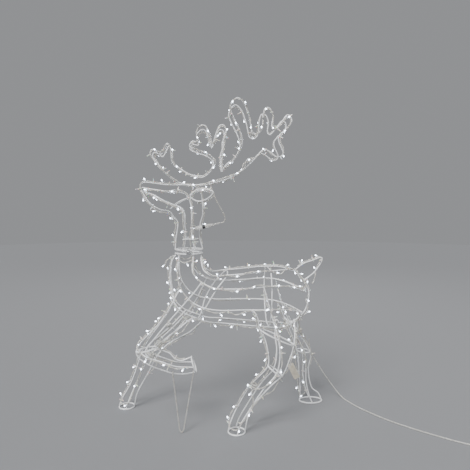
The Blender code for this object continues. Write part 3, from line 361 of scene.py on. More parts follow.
class Shape:
    """Collects the faces of one piece."""

    def __init__(self):
        self.points, self.faces, self.count = [], [], 0

    def add(self, points, faces):
        self.points.append(np.asarray(points, float))
        self.faces += [[i + self.count for i in f] for f in faces]
        self.count += len(points)

    def tube(self, path, radius, sides=12, cyclic=False, dome=0.8):
        """Round bar along the path, with domed ends."""
        path = np.asarray(path, float)
        t, n, b = carried(path, cyclic)
        radius = np.full(len(path), radius)
        if not cyclic:
            path = np.concatenate([[path[0] - t[0] * radius[0] * dome * 0.7], path,
                                   [path[-1] + t[-1] * radius[-1] * dome * 0.7]])
            n = np.concatenate([n[:1], n, n[-1:]])
            b = np.concatenate([b[:1], b, b[-1:]])
            radius = np.concatenate([[radius[0] * 0.7], radius, [radius[-1] * 0.7]])
        k = np.arange(sides) * 2 * math.pi / sides
        circle = n[:, None] * np.cos(k)[None, :, None] + b[:, None] * np.sin(k)[None, :, None]
        points = (path[:, None] + circle * radius[:, None, None]).reshape(-1, 3)
        faces = quads(len(path), sides, cyclic)
        if not cyclic:
            points = np.concatenate([points, [path[0] - t[0] * radius[1] * dome * 0.3,
                                              path[-1] + t[-1] * radius[-2] * dome * 0.3]])
            first, last = len(points) - 2, len(points) - 1
            end = (len(path) - 1) * sides
            faces += [(first, (q + 1) % sides, q) for q in range(sides)]
            faces += [(last, end + q, end + (q + 1) % sides) for q in range(sides)]
        self.add(points, faces)

    def turned(self, origin, axis, profile, sides=20, flutes=0, depth=0.0):
        """Solid of revolution: profile is (distance along axis, radius), base to top."""
        w = unit(axis)
        u = unit(np.cross(w, [0.0, 1.0, 0.0] if abs(w[1]) < 0.9 else [1.0, 0.0, 0.0]))
        v = np.cross(w, u)
        k = np.arange(sides) * 2 * math.pi / sides
        wave = 1.0 - depth * (0.5 - 0.5 * np.cos(k * flutes)) if flutes else np.ones(sides)
        circle = u * np.cos(k)[:, None] + v * np.sin(k)[:, None]
        points, rings = [], []
        for d, r in profile:
            around = circle * (r * wave)[:, None] if r > 0.0 else np.zeros((1, 3))
            rings.append(range(len(points), len(points) + len(around)))
            points += list(np.array(origin) + w * d + around)
        pairs = list(zip(rings[:-1], rings[1:]))
        if profile[0][1] > 0.0:
            pairs.append((rings[-1], rings[0]))
        faces = []
        for low, high in pairs:
            m, n = len(low), len(high)
            for q in range(sides if m + n > 2 else 0):
                r = q + 1
                corners = (low[q % m], low[r % m], high[r % n], high[q % n])
                faces.append(tuple(dict.fromkeys(corners)))
        self.add(points, faces)

    def blob(self, a, b, radius):
        """Weld bead that spans the points a and b."""
        a, b = np.asarray(a, float), np.asarray(b, float)
        gap = float(np.linalg.norm(b - a))
        w = unit(b - a) if gap > 1e-5 else np.array([0.0, 0.0, 1.0])
        u = unit(np.cross(w, [0.3, 0.9, 0.2]))
        v = np.cross(w, u)
        middle, half = (a + b) / 2, gap / 2 + radius * 0.8
        sides, bands = 10, 6
        points = [middle - w * half]
        for i in range(1, bands):
            polar = math.pi * i / bands
            for q in range(sides):
                k = 2 * math.pi * q / sides
                r = radius * (1.0 + rng.uniform(-0.10, 0.10)) * math.sin(polar)
                points.append(middle - w * math.cos(polar) * half
                              + (u * math.cos(k) + v * math.sin(k)) * r)
        points.append(middle + w * half)
        last = len(points) - 1
        top = last - sides
        faces = [(0, 1 + (q + 1) % sides, 1 + q) for q in range(sides)]
        faces += quads(bands - 1, sides, first=1)
        faces += [(last, top + q, top + (q + 1) % sides) for q in range(sides)]
        self.add(points, faces)

    def slab(self, path, across, half_width, half_thick, cyclic=False):
        """Flat strap with cut corners; across gives its width direction at each point."""
        path = np.asarray(path, float)
        t = tangents(path, cyclic)
        a = rows_unit(np.broadcast_to(np.asarray(across, float), path.shape))
        a = rows_unit(square_to(a, t))
        up = np.cross(t, a)
        w, h = (np.broadcast_to(np.asarray(v, float), (len(path),))[:, None]
                for v in (half_width, half_thick))
        c = 0.72               # how far the flats run before the cut corners
        corners = [(1, c), (c, 1), (-c, 1), (-1, c), (-1, -c), (-c, -1), (c, -1), (1, -c)]
        points = np.stack([path + a * w * x + up * h * y for x, y in corners], axis=1)
        m, rows = len(corners), len(path)
        faces = quads(rows, m, cyclic)
        if not cyclic:
            faces.append(tuple(range(m - 1, -1, -1)))
            faces.append(tuple((rows - 1) * m + q for q in range(m)))
        self.add(points.reshape(-1, 3), faces)

    def make(self, name, material, body, slot, replaces=(), sharp=None):
        """Makes the object, on its body; the slot argument is not used."""
        mesh = bpy.data.meshes.new(name)
        mesh.from_pydata((np.concatenate(self.points) + np.array(SHIFT)).tolist(), [], self.faces)
        mesh.materials.append(material)
        mesh.shade_smooth()
        if sharp:
            mesh.set_sharp_from_angle(angle=math.radians(sharp))
        mesh.update()
        return enlist(bpy.data.objects.new(name, mesh), body, replaces)


# ---- materials ----
def surface(name, colour, rough, metal=0.0, tones=(), tone_noise=(60.0, 4.0), rough_noise=None,
            grain=None, **inputs):
    """Principled material whose tones, roughness and grain follow noise over the piece.

    tones: (position, colour) stops; tone_noise: scale, detail;
    rough_noise: scale, lowest, highest; grain: scale, detail, distance, strength.
    """
    mat = bpy.data.materials.new(name)
    mat.use_nodes = True
    nodes, links = mat.node_tree.nodes, mat.node_tree.links
    bsdf = nodes["Principled BSDF"]
    inputs.update(Base_Color=(*colour, 1.0), Roughness=rough, Metallic=metal)
    for key, value in inputs.items():
        bsdf.inputs[key.replace("_", " ")].default_value = value
    if not tones:
        return mat
    where = nodes.new("ShaderNodeTexCoord").outputs["Object"]

    def noise_into(socket, scale, detail):
        tex = nodes.new("ShaderNodeTexNoise")
        tex.inputs["Scale"].default_value = scale
        tex.inputs["Detail"].default_value = detail
        links.new(where, tex.inputs["Vector"])
        links.new(tex.outputs["Fac"], socket)

    ramp = nodes.new("ShaderNodeValToRGB")
    elements = ramp.color_ramp.elements
    while len(elements) < len(tones):
        elements.new(0.5)
    for element, (position, tone) in zip(elements, tones):
        element.position = position
        element.color = (*tone, 1.0)
    noise_into(ramp.inputs["Fac"], *tone_noise)
    links.new(ramp.outputs["Color"], bsdf.inputs["Base Color"])
    if rough_noise:
        scale, lowest, highest = rough_noise
        spread = nodes.new("ShaderNodeMapRange")
        for key, value in (("From Min", 0.3), ("From Max", 0.7), ("To Min", lowest),
                           ("To Max", highest)):
            spread.inputs[key].default_value = value
        noise_into(spread.inputs["Value"], scale, 4.0)
        links.new(spread.outputs["Result"], bsdf.inputs["Roughness"])
    if grain:
        scale, detail, distance, strength = grain
        bump = nodes.new("ShaderNodeBump")
        bump.inputs["Strength"].default_value = strength
        bump.inputs["Distance"].default_value = distance
        noise_into(bump.inputs["Height"], scale, detail)
        links.new(bump.outputs["Normal"], bsdf.inputs["Normal"])
    return mat


def moulded(name, colour, rough):
    """Moulded plastic with a fine spark-eroded grain and slight scuffs."""
    darker = tuple(c * 0.82 for c in colour)
    lighter = tuple(min(1.0, c * 1.06 + 0.006) for c in colour)
    return surface(name, colour, rough, 0.0, [(0.30, darker), (0.55, colour), (0.80, lighter)],
                   (90.0, 5.0), (260.0, rough - 0.07, rough + 0.10), (1400.0, 2.0, 0.0002, 0.35))


# white gloss coating with a faint orange peel and thin greyer patches
COATED = surface("coated_wire", (0.88, 0.89, 0.90), 0.30, 0.0,
                 [(0.30, (0.74, 0.75, 0.76)), (0.46, (0.88, 0.89, 0.90)),
                  (0.75, (0.93, 0.93, 0.93))], (38.0, 6.0), (120.0, 0.24, 0.42),
                 (900.0, 2.0, 0.0002, 0.35), Coat_Weight=0.35, Coat_Roughness=0.12)
# bead of weld under thin coating: rougher, with burnt specks
WELD = surface("weld_bead", (0.70, 0.70, 0.69), 0.45, 0.0,
               [(0.34, (0.33, 0.31, 0.29)), (0.47, (0.70, 0.70, 0.69)),
                (0.80, (0.84, 0.84, 0.83))], (420.0, 5.0), (260.0, 0.35, 0.62),
               (1400.0, 4.0, 0.0004, 0.6))
PLATED = surface("zinc_plated_steel", (0.60, 0.61, 0.62), 0.34, 1.0,
                 [(0.32, (0.56, 0.56, 0.55)), (0.55, (0.76, 0.77, 0.78)),
                  (0.80, (0.84, 0.84, 0.83))], (160.0, 5.0), (300.0, 0.26, 0.50),
                 (1600.0, 3.0, 0.0002, 0.3))
# dull galvanised wire of the ground prop, with brown specks
BARE = surface("galvanised_wire", (0.62, 0.60, 0.56), 0.50, 0.45,
               [(0.30, (0.36, 0.30, 0.24)), (0.42, (0.60, 0.58, 0.54)),
                (0.75, (0.70, 0.69, 0.67))], (70.0, 7.0), (180.0, 0.38, 0.62),
               (1200.0, 4.0, 0.0003, 0.4))
# soft clear insulation, faintly yellow, and the tinned core in it
PVC = surface("clear_pvc", (0.93, 0.92, 0.88), 0.14, 0.0,
              [(0.35, (0.90, 0.88, 0.81)), (0.65, (0.97, 0.97, 0.95))], (60.0, 3.0),
              (220.0, 0.10, 0.26), Transmission_Weight=0.52, IOR=1.46)
CORE = surface("tinned_core", (0.86, 0.82, 0.74), 0.30, 1.0,
               [(0.35, (0.80, 0.74, 0.63)), (0.65, (0.88, 0.83, 0.74))], (240.0, 2.0),
               None, (2500.0, 1.0, 0.0002, 0.6))
# milky sleeve that glows softly from the lamp inside, and the lens lit cold white
COLD_WHITE = (0.80, 0.88, 1.0, 1.0)
SLEEVE = surface("lamp_sleeve", (0.90, 0.92, 0.95), 0.28, 0.0,
                 [(0.35, (0.84, 0.87, 0.91)), (0.65, (0.93, 0.95, 0.97))], (300.0, 4.0),
                 (500.0, 0.20, 0.36), Transmission_Weight=0.55, IOR=1.46,
                 Emission_Color=COLD_WHITE, Emission_Strength=0.22)
LENS_MAT = surface("lamp_lens", (0.95, 0.97, 1.0), 0.08, 0.0,
                   [(0.3, (0.93, 0.96, 1.0)), (0.7, (1.0, 1.0, 1.0))], (200.0, 4.0),
                   IOR=1.5, Emission_Color=COLD_WHITE, Emission_Strength=14.0)
for glowing in (SLEEVE, LENS_MAT):
    glowing.cycles.emission_sampling = "NONE"
# natural nylon of the cable ties
NYLON = surface("natural_nylon", (0.84, 0.83, 0.78), 0.38, 0.0,
                [(0.35, (0.78, 0.76, 0.69)), (0.65, (0.88, 0.87, 0.83))], (110.0, 4.0),
                None, (1500.0, 4.0, 0.0002, 0.25), Subsurface_Weight=0.25,
                Subsurface_Scale=0.002)
FILM = surface("tag_film", (0.70, 0.64, 0.52), 0.42, 0.0,
               [(0.30, (0.58, 0.52, 0.40)), (0.70, (0.74, 0.69, 0.58))], (70.0, 5.0),
               None, (260.0, 4.0, 0.0004, 0.4), Coat_Weight=0.25, Coat_Roughness=0.2)
WHITE = moulded("white_moulding", (0.78, 0.78, 0.75), 0.42)
BLACK = moulded("black_moulding", (0.028, 0.028, 0.030), 0.45)
SLEEVE_CLEAR = surface("clear_sleeve", (0.90, 0.89, 0.84), 0.22, 0.0,
                       [(0.35, (0.84, 0.82, 0.76)), (0.65, (0.93, 0.92, 0.89))],
                       (150.0, 4.0), Transmission_Weight=0.55, IOR=1.46)
JACKET = surface("lead_jacket", (0.72, 0.71, 0.67), 0.28, 0.0,
                 [(0.32, (0.62, 0.61, 0.57)), (0.68, (0.78, 0.77, 0.74))], (60.0, 4.0),
                 (200.0, 0.22, 0.40), (700.0, 4.0, 0.0002, 0.3), Transmission_Weight=0.35,
                 IOR=1.46)


# ---- camera, light, floor ----
PALE = (0.300, 0.306, 0.318)   # studio air
FLOOR = (0.222, 0.226, 0.235)  # floor, which the key light lifts to the same tone
SUN_POWER = 4.4
FLOOR_R, FLOOR_SIDES = 9, 96


def placed(name, data, direction, at=(0.0, 0.0, 0.0)):
    """A camera or light that looks in the direction."""
    ob = bpy.data.objects.new(name, data)
    bpy.context.scene.collection.objects.link(ob)
    ob.location = at
    ob.rotation_euler = Vector(direction).to_track_quat("-Z", "Y").to_euler()
    return ob


def make_camera():
    data = bpy.data.cameras.new("camera")
    data.lens, data.sensor_width = LENS, SENSOR_WIDTH
    flat = math.cos(CAMERA_PITCH)
    direction = (math.sin(CAMERA_YAW) * flat, math.cos(CAMERA_YAW) * flat, -math.sin(CAMERA_PITCH))
    bpy.context.scene.camera = placed("camera", data, direction, CAMERA_AT + SHIFT)


def make_studio():
    """Soft sun from the front left, two large fills, an even sky and a round floor."""
    data = bpy.data.lights.new("key", "SUN")
    data.energy, data.angle = SUN_POWER, math.radians(24)
    placed("key", data, (0.42, 0.62, -0.78))
    for name, at, target, size, power in (
            ("fill", (2.4, -1.4, 1.7), (0.0, 0.0, 0.5), 2.2, 16.0),
            ("back", (0.4, 2.6, 2.6), (0.0, 0.0, 0.6), 2.6, 22.0)):
        data = bpy.data.lights.new(name, "AREA")
        data.shape, data.size, data.energy = "DISK", size, power
        placed(name, data, Vector(target) - Vector(at), at)
    world = bpy.data.worlds.new("studio")
    bpy.context.scene.world = world
    world.use_nodes = True
    world.node_tree.nodes["Background"].inputs["Color"].default_value = (*PALE, 1.0)
    mesh = bpy.data.meshes.new("floor")
    rim = ring((0, 0, 0), (FLOOR_R, 0, 0), (0, FLOOR_R, 0), FLOOR_SIDES)
    mesh.from_pydata(rim.tolist(), [], [tuple(range(FLOOR_SIDES))])
    mesh.materials.append(surface("pale_floor", FLOOR, 0.85))
    ob = bpy.data.objects.new("floor", mesh)
    bpy.context.scene.collection.objects.link(ob)


make_camera()
make_studio()


# ---- wires ----
WIRES = []                 # (path, radius, body), for the welds


def keep_wire(path, radius, body):
    WIRES.append((path, radius, body))
    return path


def wire_piece(node, path, radius, body, cyclic=False):
    """One coated wire in place of its CAD node."""
    shape = Shape()
    shape.tube(keep_wire(path, radius, body), radius, WIRE_SIDES, cyclic)
    shape.make(node + "_coated", COATED, body, "white_wire", [node])


def neck_circle(z):
    return ring((COLLAR_X, 0, z), (COLLAR_R, 0, 0), (0, COLLAR_R, 0), RING_POINTS)


def from_half(half):
    """Closed loop from its left half, whose ends lie in the mid-plane."""
    return smooth(half + [(x, -y, z) for x, y, z in reversed(half[1:-1])], MEDIUM, True)


def body_wires():
    for name, points in (("back", BACK), ("shoulder", SHOULDER), ("flank", FLANK),
                         ("belly", BELLY)):
        for side, sided in SIDED.items():
            wire_piece(name + "_wire_" + side, smooth(points, COARSE) * sided, WIRE_R, "frame")
    wire_piece("rump_arc", smooth(RUMP, MEDIUM), RING_R, "frame")
    wire_piece("tail_loop", smooth(TAIL, FINE), WIRE_R, "frame")
    wire_piece("front_rib", from_half(FRONT_RIB), WIRE_R, "frame", True)
    wire_piece("rear_rib", from_half(REAR_RIB), WIRE_R, "frame", True)
    wire_piece("collar_ring", neck_circle(COLLAR_Z), RING_R, "frame", True)


def eyelet_centre(outer):
    """Centre of the hip eyelet, beside the leg's outer wire."""
    path = smooth(outer, MEDIUM)
    k = int(np.argmin(np.abs(path[:, 2] - EYE_Z)))
    side = unit(np.cross(unit(path[k + 1] - path[k]), [0.0, 1.0, 0.0]))
    return path[k] + side * math.copysign(EYE_R + EYE_BITE, side[0])


def leg(name, front, outer, inner, back, rings):
    """One leg in one piece: its rings, its four long wires and its hip eyelet."""
    shape = Shape()
    for centre, a, b in rings:
        path = keep_wire(ring(centre, a, b, LEG_RING_POINTS), RING_R, "frame")
        shape.tube(path, RING_R, WIRE_SIDES, True)
    for points in (front, outer, inner, back):
        shape.tube(keep_wire(smooth(points, COARSE), WIRE_R, "frame"), WIRE_R, WIRE_SIDES)
    eye = ring(eyelet_centre(outer), (EYE_R, 0, 0), (0, 0, EYE_R), EYE_POINTS)
    shape.tube(keep_wire(eye, EYE_WIRE_R, "frame"), EYE_WIRE_R, 12, True)
    shape.make(name + "_leg_wires", COATED, "frame", "white_wire", [name + "_leg"])


ANTLER_ROOT, ANTLER_REACH = (-0.06, 0.768), 0.28       # root in (x, z), span of the splay
ROOT_GAP, SPLAY = 0.021, 0.025     # distance from the mid-plane at the root, and added to it


def antler_y(x, z):
    """The antlers splay: where the left one stands beside the mid-plane."""
    out = math.hypot(x - ANTLER_ROOT[0], z - ANTLER_ROOT[1]) / ANTLER_REACH
    return -(ROOT_GAP + SPLAY * min(1.0, out))


def antler_path():
    return smooth([(x, antler_y(x, z), z) for x, z in ANTLER], MEDIUM, True)


def head_wires():
    wire_piece("neck_ring", neck_circle(NECK_Z), RING_R, "head", True)
    wire_piece("head_outline_wire", smooth(OUTLINE, MEDIUM), WIRE_R, "head")
    for name, path, cyclic in (("cheek_wire_", smooth(CHEEK, FINE), False),
                               ("brow_wire_", smooth(BROW, FINE), False),
                               ("ear_loop_", smooth(EAR, FINE, True), True),
                               ("neck_bar_", smooth(NECK_BAR, FINE), False),
                               ("antler_", antler_path(), True)):
        for side, sided in SIDED.items():
            wire_piece(name + side, path * sided, WIRE_R, "head", cyclic)
    wire_piece("cheek_strut", smooth(STRUT, MEDIUM), WIRE_R, "head")


WELD_REACH = 0.0042        # two wires closer than their radii and this are welded
WELD_R = 0.0026
WELD_APART = 0.014         # least distance between two beads of the same two wires


def welds():
    """A bead where two wires of one weldment cross or meet, two at most for each two wires."""
    owner = [(i, k, p) for i, wire in enumerate(WIRES) for k, p in enumerate(wire[0])]
    tree = KDTree(len(owner))
    for index, (_, _, p) in enumerate(owner):
        tree.insert(p, index)
    tree.balance()
    for body in ("frame", "head"):
        near = {}
        for i, k, p in owner:
            _, radius, where = WIRES[i]
            if where != body:
                continue
            for q, index, gap in tree.find_range(p, radius + RING_R + WELD_REACH):
                j = owner[index][0]
                if j > i and WIRES[j][2] == body and gap <= radius + WIRES[j][1] + WELD_REACH:
                    near.setdefault((i, j), []).append((gap, k, tuple(p), tuple(q)))
        shape = Shape()
        for hits in near.values():
            placed = []
            for _, _, p, q in sorted(hits):
                if all((Vector(p) - Vector(o)).length > WELD_APART for o in placed):
                    placed.append(p)
                    low = WELD_R * 1.15
                    p, q = (*p[:2], max(p[2], low)), (*q[:2], max(q[2], low))
                    shape.blob(p, q, WELD_R * rng.uniform(0.92, 1.12))
                if len(placed) == 2:
                    break
        shape.make(body + "_weld_beads", WELD, body, "white_wire")


# ---- cable ties ----
TIE_HALF_WIDTH, TIE_HALF_THICK = 0.0012, 0.00045
TIE_HEAD = 0.0023          # half the side of a tie's head
TIE_CEILING = 1.020        # no tie sits on the very tips of the antlers
SHORT_TAIL = 0.0030
EDGE_ROOM = 0.0008         # nothing of the strings reaches past these limits
RIGHT_LIMIT = cad_box[1][1] - SHIFT[1] - EDGE_ROOM
FRONT_LIMIT = cad_box[0][0] - SHIFT[0] + EDGE_ROOM
TOP_LIMIT = cad_box[1][2] - SHIFT[2] - EDGE_ROOM


def inward(point, out, reach):
    """The direction, turned back where its reach would pass the limits."""
    out = unit(out)
    tip = np.asarray(point) + out * reach
    if tip[0] < FRONT_LIMIT:
        out[0] = abs(out[0])
    if tip[1] > RIGHT_LIMIT:
        out[1] = -abs(out[1])
    if tip[2] > TOP_LIMIT:
        out[2] = -abs(out[2])
    return unit(out)


def within(path, margin):
    """The path, pressed inside the limits and above the ground."""
    path = np.array(path, float)
    path[:, 0] = np.maximum(path[:, 0], FRONT_LIMIT + margin)
    path[:, 1] = np.minimum(path[:, 1], RIGHT_LIMIT - margin)
    path[:, 2] = np.clip(path[:, 2], margin, TOP_LIMIT - margin)
    return path


def tie(shape, centre, along, toward, half_long, half_wide, tail):
    """Cable tie round a wire and its cable: strap, ratchet head and cut-off tail."""
    along = unit(along)
    toward = unit(toward - along * np.dot(toward, along))
    side = np.cross(along, toward)
    strap = ring(centre, toward * half_long, side * half_wide, 20)
    shape.slab(strap, along, TIE_HALF_WIDTH, TIE_HALF_THICK, cyclic=True)
    turn = rng.uniform(-1.2, 1.2)
    out = unit(toward * math.cos(turn) + side * math.sin(turn))
    held = inward(centre, out, half_long + 2 * TIE_HEAD + tail)
    if np.dot(held, out) < 0.999:          # it would reach past the limits: other side
        out = -out
        tail = min(tail, SHORT_TAIL)
        turn += math.pi
    reach = half_long * abs(math.cos(turn)) + half_wide * abs(math.sin(turn))
    head = centre + out * reach
    block = np.array([head + out * TIE_HEAD * k for k in (-0.35, 0.2, 1.0)])
    shape.slab(block, along, [TIE_HEAD * 0.95, TIE_HEAD, TIE_HEAD * 0.8],
               [TIE_HEAD * 0.85, TIE_HEAD * 0.9, TIE_HEAD * 0.7])
    bend = unit(np.cross(along, out)) * rng.choice([-1, 1])
    u = np.linspace(0.0, 1.0, 6)[:, None]
    strip = head + out * (TIE_HEAD + u * tail) + bend * (u ** 2 * tail * rng.uniform(0.1, 0.6))
    strip = strip + along * (u * tail * rng.uniform(-0.25, 0.25))
    shape.slab(strip, along, TIE_HALF_WIDTH * 0.9, TIE_HALF_THICK * 0.85)


# ---- light strings ----
SLEEVE_PROFILE = mm((-1.2, 0), (-1.2, 1.2), (-0.4, 1.7), (0.8, 1.9), (3.0, 1.8), (5.2, 1.9),
                    (5.7, 2.2), (6.7, 2.2), (7.2, 1.9), (7.2, 0))
LENS_PROFILE = mm((6.8, 0), (6.8, 1.8), (7.8, 1.8), (8.1, 1.55), (10.3, 1.55), (11.1, 1.2),
                  (11.4, 0.6), (11.2, 0))
END_CAP = mm((-5.0, 0), (-5.0, 2.1), (-4.4, 2.4), (1.6, 2.5), (2.8, 2.1), (3.4, 1.2), (3.6, 0))
LAMP_STUB = mm((7.5, -1.2), (4.2, -1.6), (1.5, -0.8), (0, 1.2))    # along the cable, out of it
LAMP_REACH = 0.0150        # from the cable's middle to a lamp's tip, with a little room
LAMP_SEAT = 0.0020         # from the cable's middle to the lamp's base
RUN_MARGIN, CABLE_MARGIN = 0.0034, 0.0032      # room for the cable inside the limits
STRING_STEP = 0.0035       # spacing of the points of a cable's run
END_ROOM = 0.010           # no tie nearer than this to the end of a run
LAST_LAMP = 0.008          # no lamp nearer than this to the end of a string
TIE_SLACK = 0.0008         # room between a tie and what it holds
FEW_DEPTHS = (0.0006, 0.0012, 0.0020, 0.0032, 0.0046)   # looseness between two ties
LEG_DEPTHS = (0.0012, 0.0025, 0.0045, 0.0070, 0.0095)


class Parts:
    """The shapes of one light string: insulation, cores, sleeves, lenses and ties."""

    def __init__(self):
        self.pvc, self.core, self.sleeve = Shape(), Shape(), Shape()
        self.lens, self.ties = Shape(), Shape()

    def make_cable(self, stem, body, nodes=()):
        return [self.pvc.make(stem + "_insulation", PVC, body, "clear_cable", nodes),
                self.core.make(stem + "_cores", CORE, body, "clear_cable")]

    def make(self, stem, body, node):
        self.make_cable(stem, body, [node])
        self.sleeve.make(stem + "_lamp_sleeves", SLEEVE, body, "led_lamp", sharp=50)
        self.lens.make(stem + "_lamp_lenses", LENS_MAT, body, "led_lamp", sharp=60)
        self.ties.make(stem + "_cable_ties", NYLON, body, "clear_cable", sharp=40)


def conductor(parts, path, sides):
    parts.pvc.tube(path, STRAND_R, sides)
    parts.core.tube(path, CORE_R, 5)


def pair(parts, path, start=0.0, capped=True):
    """Two clear conductors twisted loosely about the path, with shrunk-on end caps."""
    t, n, b = carried(path)
    if capped:
        parts.pvc.turned(path[0], -t[0], END_CAP, 12)
        parts.pvc.turned(path[-1], t[-1], END_CAP, 12)
    angle = (start + lengths(path) / TWIST * 2 * math.pi)[:, None]
    arm = n * np.cos(angle) + b * np.sin(angle)
    for flip in (1.0, -1.0):
        conductor(parts, path + arm * (flip * PAIR_HALF), 8)


def loose_pair(parts, path):
    """Twisted pair that starts its twist at any angle."""
    pair(parts, path, start=rng.uniform(0, 6.28))


def lamp(parts, base, along, out):
    """One LED in its sleeve; its two leads loop up from the cable."""
    along, out = unit(along), unit(out)
    parts.sleeve.turned(base, out, SLEEVE_PROFILE, 14)
    parts.lens.turned(base, out, LENS_PROFILE, 14)
    for flip in (-1.0, 1.0):
        stub = [base + along * flip * x + out * y for x, y in LAMP_STUB]
        conductor(parts, smooth(stub, 0.0012), 7)


def away_from(axis, path):
    """Unit vectors from an axis line to the path, square to the path."""
    axis = np.asarray(axis, float)
    out = np.zeros_like(path)
    for i, p in enumerate(path):
        feet = []
        for a, b in zip(axis[:-1], axis[1:]):
            u = float(np.dot(p - a, b - a) / max(np.dot(b - a, b - a), 1e-12))
            feet.append(p - (a + (b - a) * min(1.0, max(0.0, u))))
        out[i] = min(feet, key=lambda d: np.dot(d, d))
    return rows_unit(square_to(out, tangents(path)))


def along_wire(parts, wire, axis, slack=(), tie_step=TIE_STEP, swing=0.9,
               tails=(0.004, 0.009), depths=FEW_DEPTHS):
    """Cable beside a wire, held at its ties: its path and the directions away from the axis.

    slack lists (peak, width) of the bigger loops that stand off the wire.
    """
    wire = respaced(wire, STRING_STEP)
    out = away_from(axis, wire)
    t = tangents(wire)
    run = lengths(wire)
    total = run[-1]
    stops = [min(0.012, total * 0.2)]
    while stops[-1] + tie_step * 0.7 < total - END_ROOM:
        stops.append(min(total - END_ROOM, stops[-1] + tie_step * rng.uniform(0.75, 1.2)))
    turns = [rng.uniform(-swing, swing) for _ in stops]
    angle = np.interp(run, stops, turns)[:, None]
    arm = out * np.cos(angle) + np.cross(t, out) * np.sin(angle)
    loose = np.zeros(len(wire))
    for a, b in zip(stops[:-1], stops[1:]):
        inside = (run > a) & (run < b)
        loose[inside] = rng.choice(depths) * np.sin(math.pi * (run[inside] - a) / (b - a)) ** 2
    sag = square_to(np.array([[0.0, 0.0, -1.0]]), t)
    path = wire + arm * (CABLE_OFF + loose)[:, None] + sag * (loose * 0.5)[:, None]
    for peak, width in slack:
        k = int(np.argmin(np.linalg.norm(wire - peak, axis=1)))
        push = peak - path[k]
        push = push - t[k] * np.dot(push, t[k])
        push = push * min(1.0, 0.62 * width / max(1e-6, float(np.linalg.norm(push))))
        # the bell pushes the cable towards the peak, and the pinch narrows the loop's foot
        u = (run - run[k]) / (width / 2)
        bell = np.clip(1 - u ** 2, 0, 1) ** 1.35
        pinch = -np.clip(1 - u ** 2, 0, 1) ** 2 * u * width * 0.34
        path = path + push * bell[:, None] + t[k] * pinch[:, None]
        stops = [s for s in stops if abs(s - run[k]) > width * 0.42]
    path = within(path, RUN_MARGIN)
    for s in stops:
        k = int(np.argmin(np.abs(run - s)))
        if path[k][2] > TIE_CEILING:
            continue
        reach = float(np.linalg.norm(path[k] - wire[k]))
        tie(parts.ties, (path[k] + wire[k]) / 2, t[k], path[k] - wire[k],
            reach / 2 + WIRE_R + TIE_SLACK, WIRE_R + TIE_SLACK, rng.uniform(*tails))
    return path, out


def blended(path, window=4):
    """The path at even steps, with its corners rounded."""
    path = respaced(path, 0.0040)
    kernel = np.ones(2 * window + 1) / (2 * window + 1)
    padded = np.concatenate([np.repeat(path[:1], window, 0), path,
                             np.repeat(path[-1:], window, 0)])
    soft = np.stack([np.convolve(padded[:, k], kernel, "valid") for k in range(3)], axis=1)
    return within(np.concatenate([path[:1], soft[1:-1], path[-1:]]), CABLE_MARGIN)


def string(parts, runs, first, step=LAMP_STEP):
    """Twisted pair through the runs (path, directions), with lamps at even steps along it."""
    guide, outs = (np.concatenate(rows) for rows in zip(*runs))
    path = blended(guide)
    tree = KDTree(len(guide))
    for i, p in enumerate(guide):
        tree.insert(p, i)
    tree.balance()
    loose_pair(parts, path)
    t = tangents(path)
    run = lengths(path)
    s = first
    while s < run[-1] - LAST_LAMP:
        k = int(np.argmin(np.abs(run - s)))
        out = outs[tree.find(Vector(path[k]))[1]]
        lean = (out + t[k] * rng.choice([-1, 1]) * rng.uniform(0.3, 1.9)
                + np.cross(t[k], out) * rng.uniform(-0.8, 0.8) + np.array([0.0, 0.0, -0.2]))
        lean = inward(path[k], lean, LAMP_REACH)
        lamp(parts, path[k] + unit(lean) * LAMP_SEAT, t[k], lean)
        s += step * rng.uniform(0.94, 1.06)


def run_chain(parts, runs, links, first, step=LAMP_STEP):
    """Runs in turn, joined by free stretches through waypoints (one list between each two)."""
    chain = [runs[0]]
    for run, waypoints in zip(runs[1:], links):
        free = smooth([chain[-1][0][-1], *waypoints, run[0][0]], STRING_STEP)[1:-1]
        chain += [(free, np.tile([0.0, 0.0, -1.0], (len(free), 1))), run]
    string(parts, chain, first, step)


def back_to_front(run):
    return tuple(v[::-1] for v in run)


def spare_loops(parts, centre, along, radius, count, per_turn=9, pitch=0.0075):
    """Slack wound in uneven loops round a wire."""
    w = unit(along)
    u = unit(np.cross(w, [0.0, 1.0, 0.0]))
    v = np.cross(w, u)
    points = []
    for i in range(count * per_turn + 1):
        a = i * 2 * math.pi / per_turn
        r = radius * rng.uniform(0.78, 1.15)
        points.append(np.asarray(centre) + u * r * math.cos(a) * 0.62 + v * r * math.sin(a)
                      + w * (i / per_turn - count / 2) * pitch + w * rng.uniform(-0.0015, 0.0015))
    loose_pair(parts, smooth(points, MEDIUM))


def plain_run(parts, wire, axis, tie_step=0.066, depths=LEG_DEPTHS):
    """Cable that only passes along a wire, without lamps."""
    path, _ = along_wire(parts, wire, axis, (), tie_step, 1.3, depths=depths)
    loose_pair(parts, blended(path))


# bigger loops of the body strings: wire -> [(peak, width)]
BODY_SLACK = {
    "left": {"belly": [((-0.117, -0.030, 0.523), 0.052)],
             "flank": [((0.106, -0.090, 0.360), 0.046), ((0.298, -0.050, 0.378), 0.036)],
             "shoulder": [((0.095, -0.094, 0.436), 0.060), ((0.173, -0.095, 0.459), 0.050)],
             "back": [((0.113, -0.068, 0.476), 0.060), ((0.245, -0.055, 0.478), 0.055)]},
    "right": {"belly": [], "flank": [((0.296, 0.052, 0.351), 0.050)],
              "shoulder": [((0.120, 0.096, 0.438), 0.050)],
              "back": [((0.060, 0.064, 0.474), 0.04)]}}
# free stretches between the runs of the belly, flank, shoulder and back
BODY_LINKS = [mm((303, -10, 313.5), (322, -6.4, 331)), mm((-56, -52, 520)),
              mm((346, -6.4, 440), (326, -6.4, 464), (312, -10, 486))]


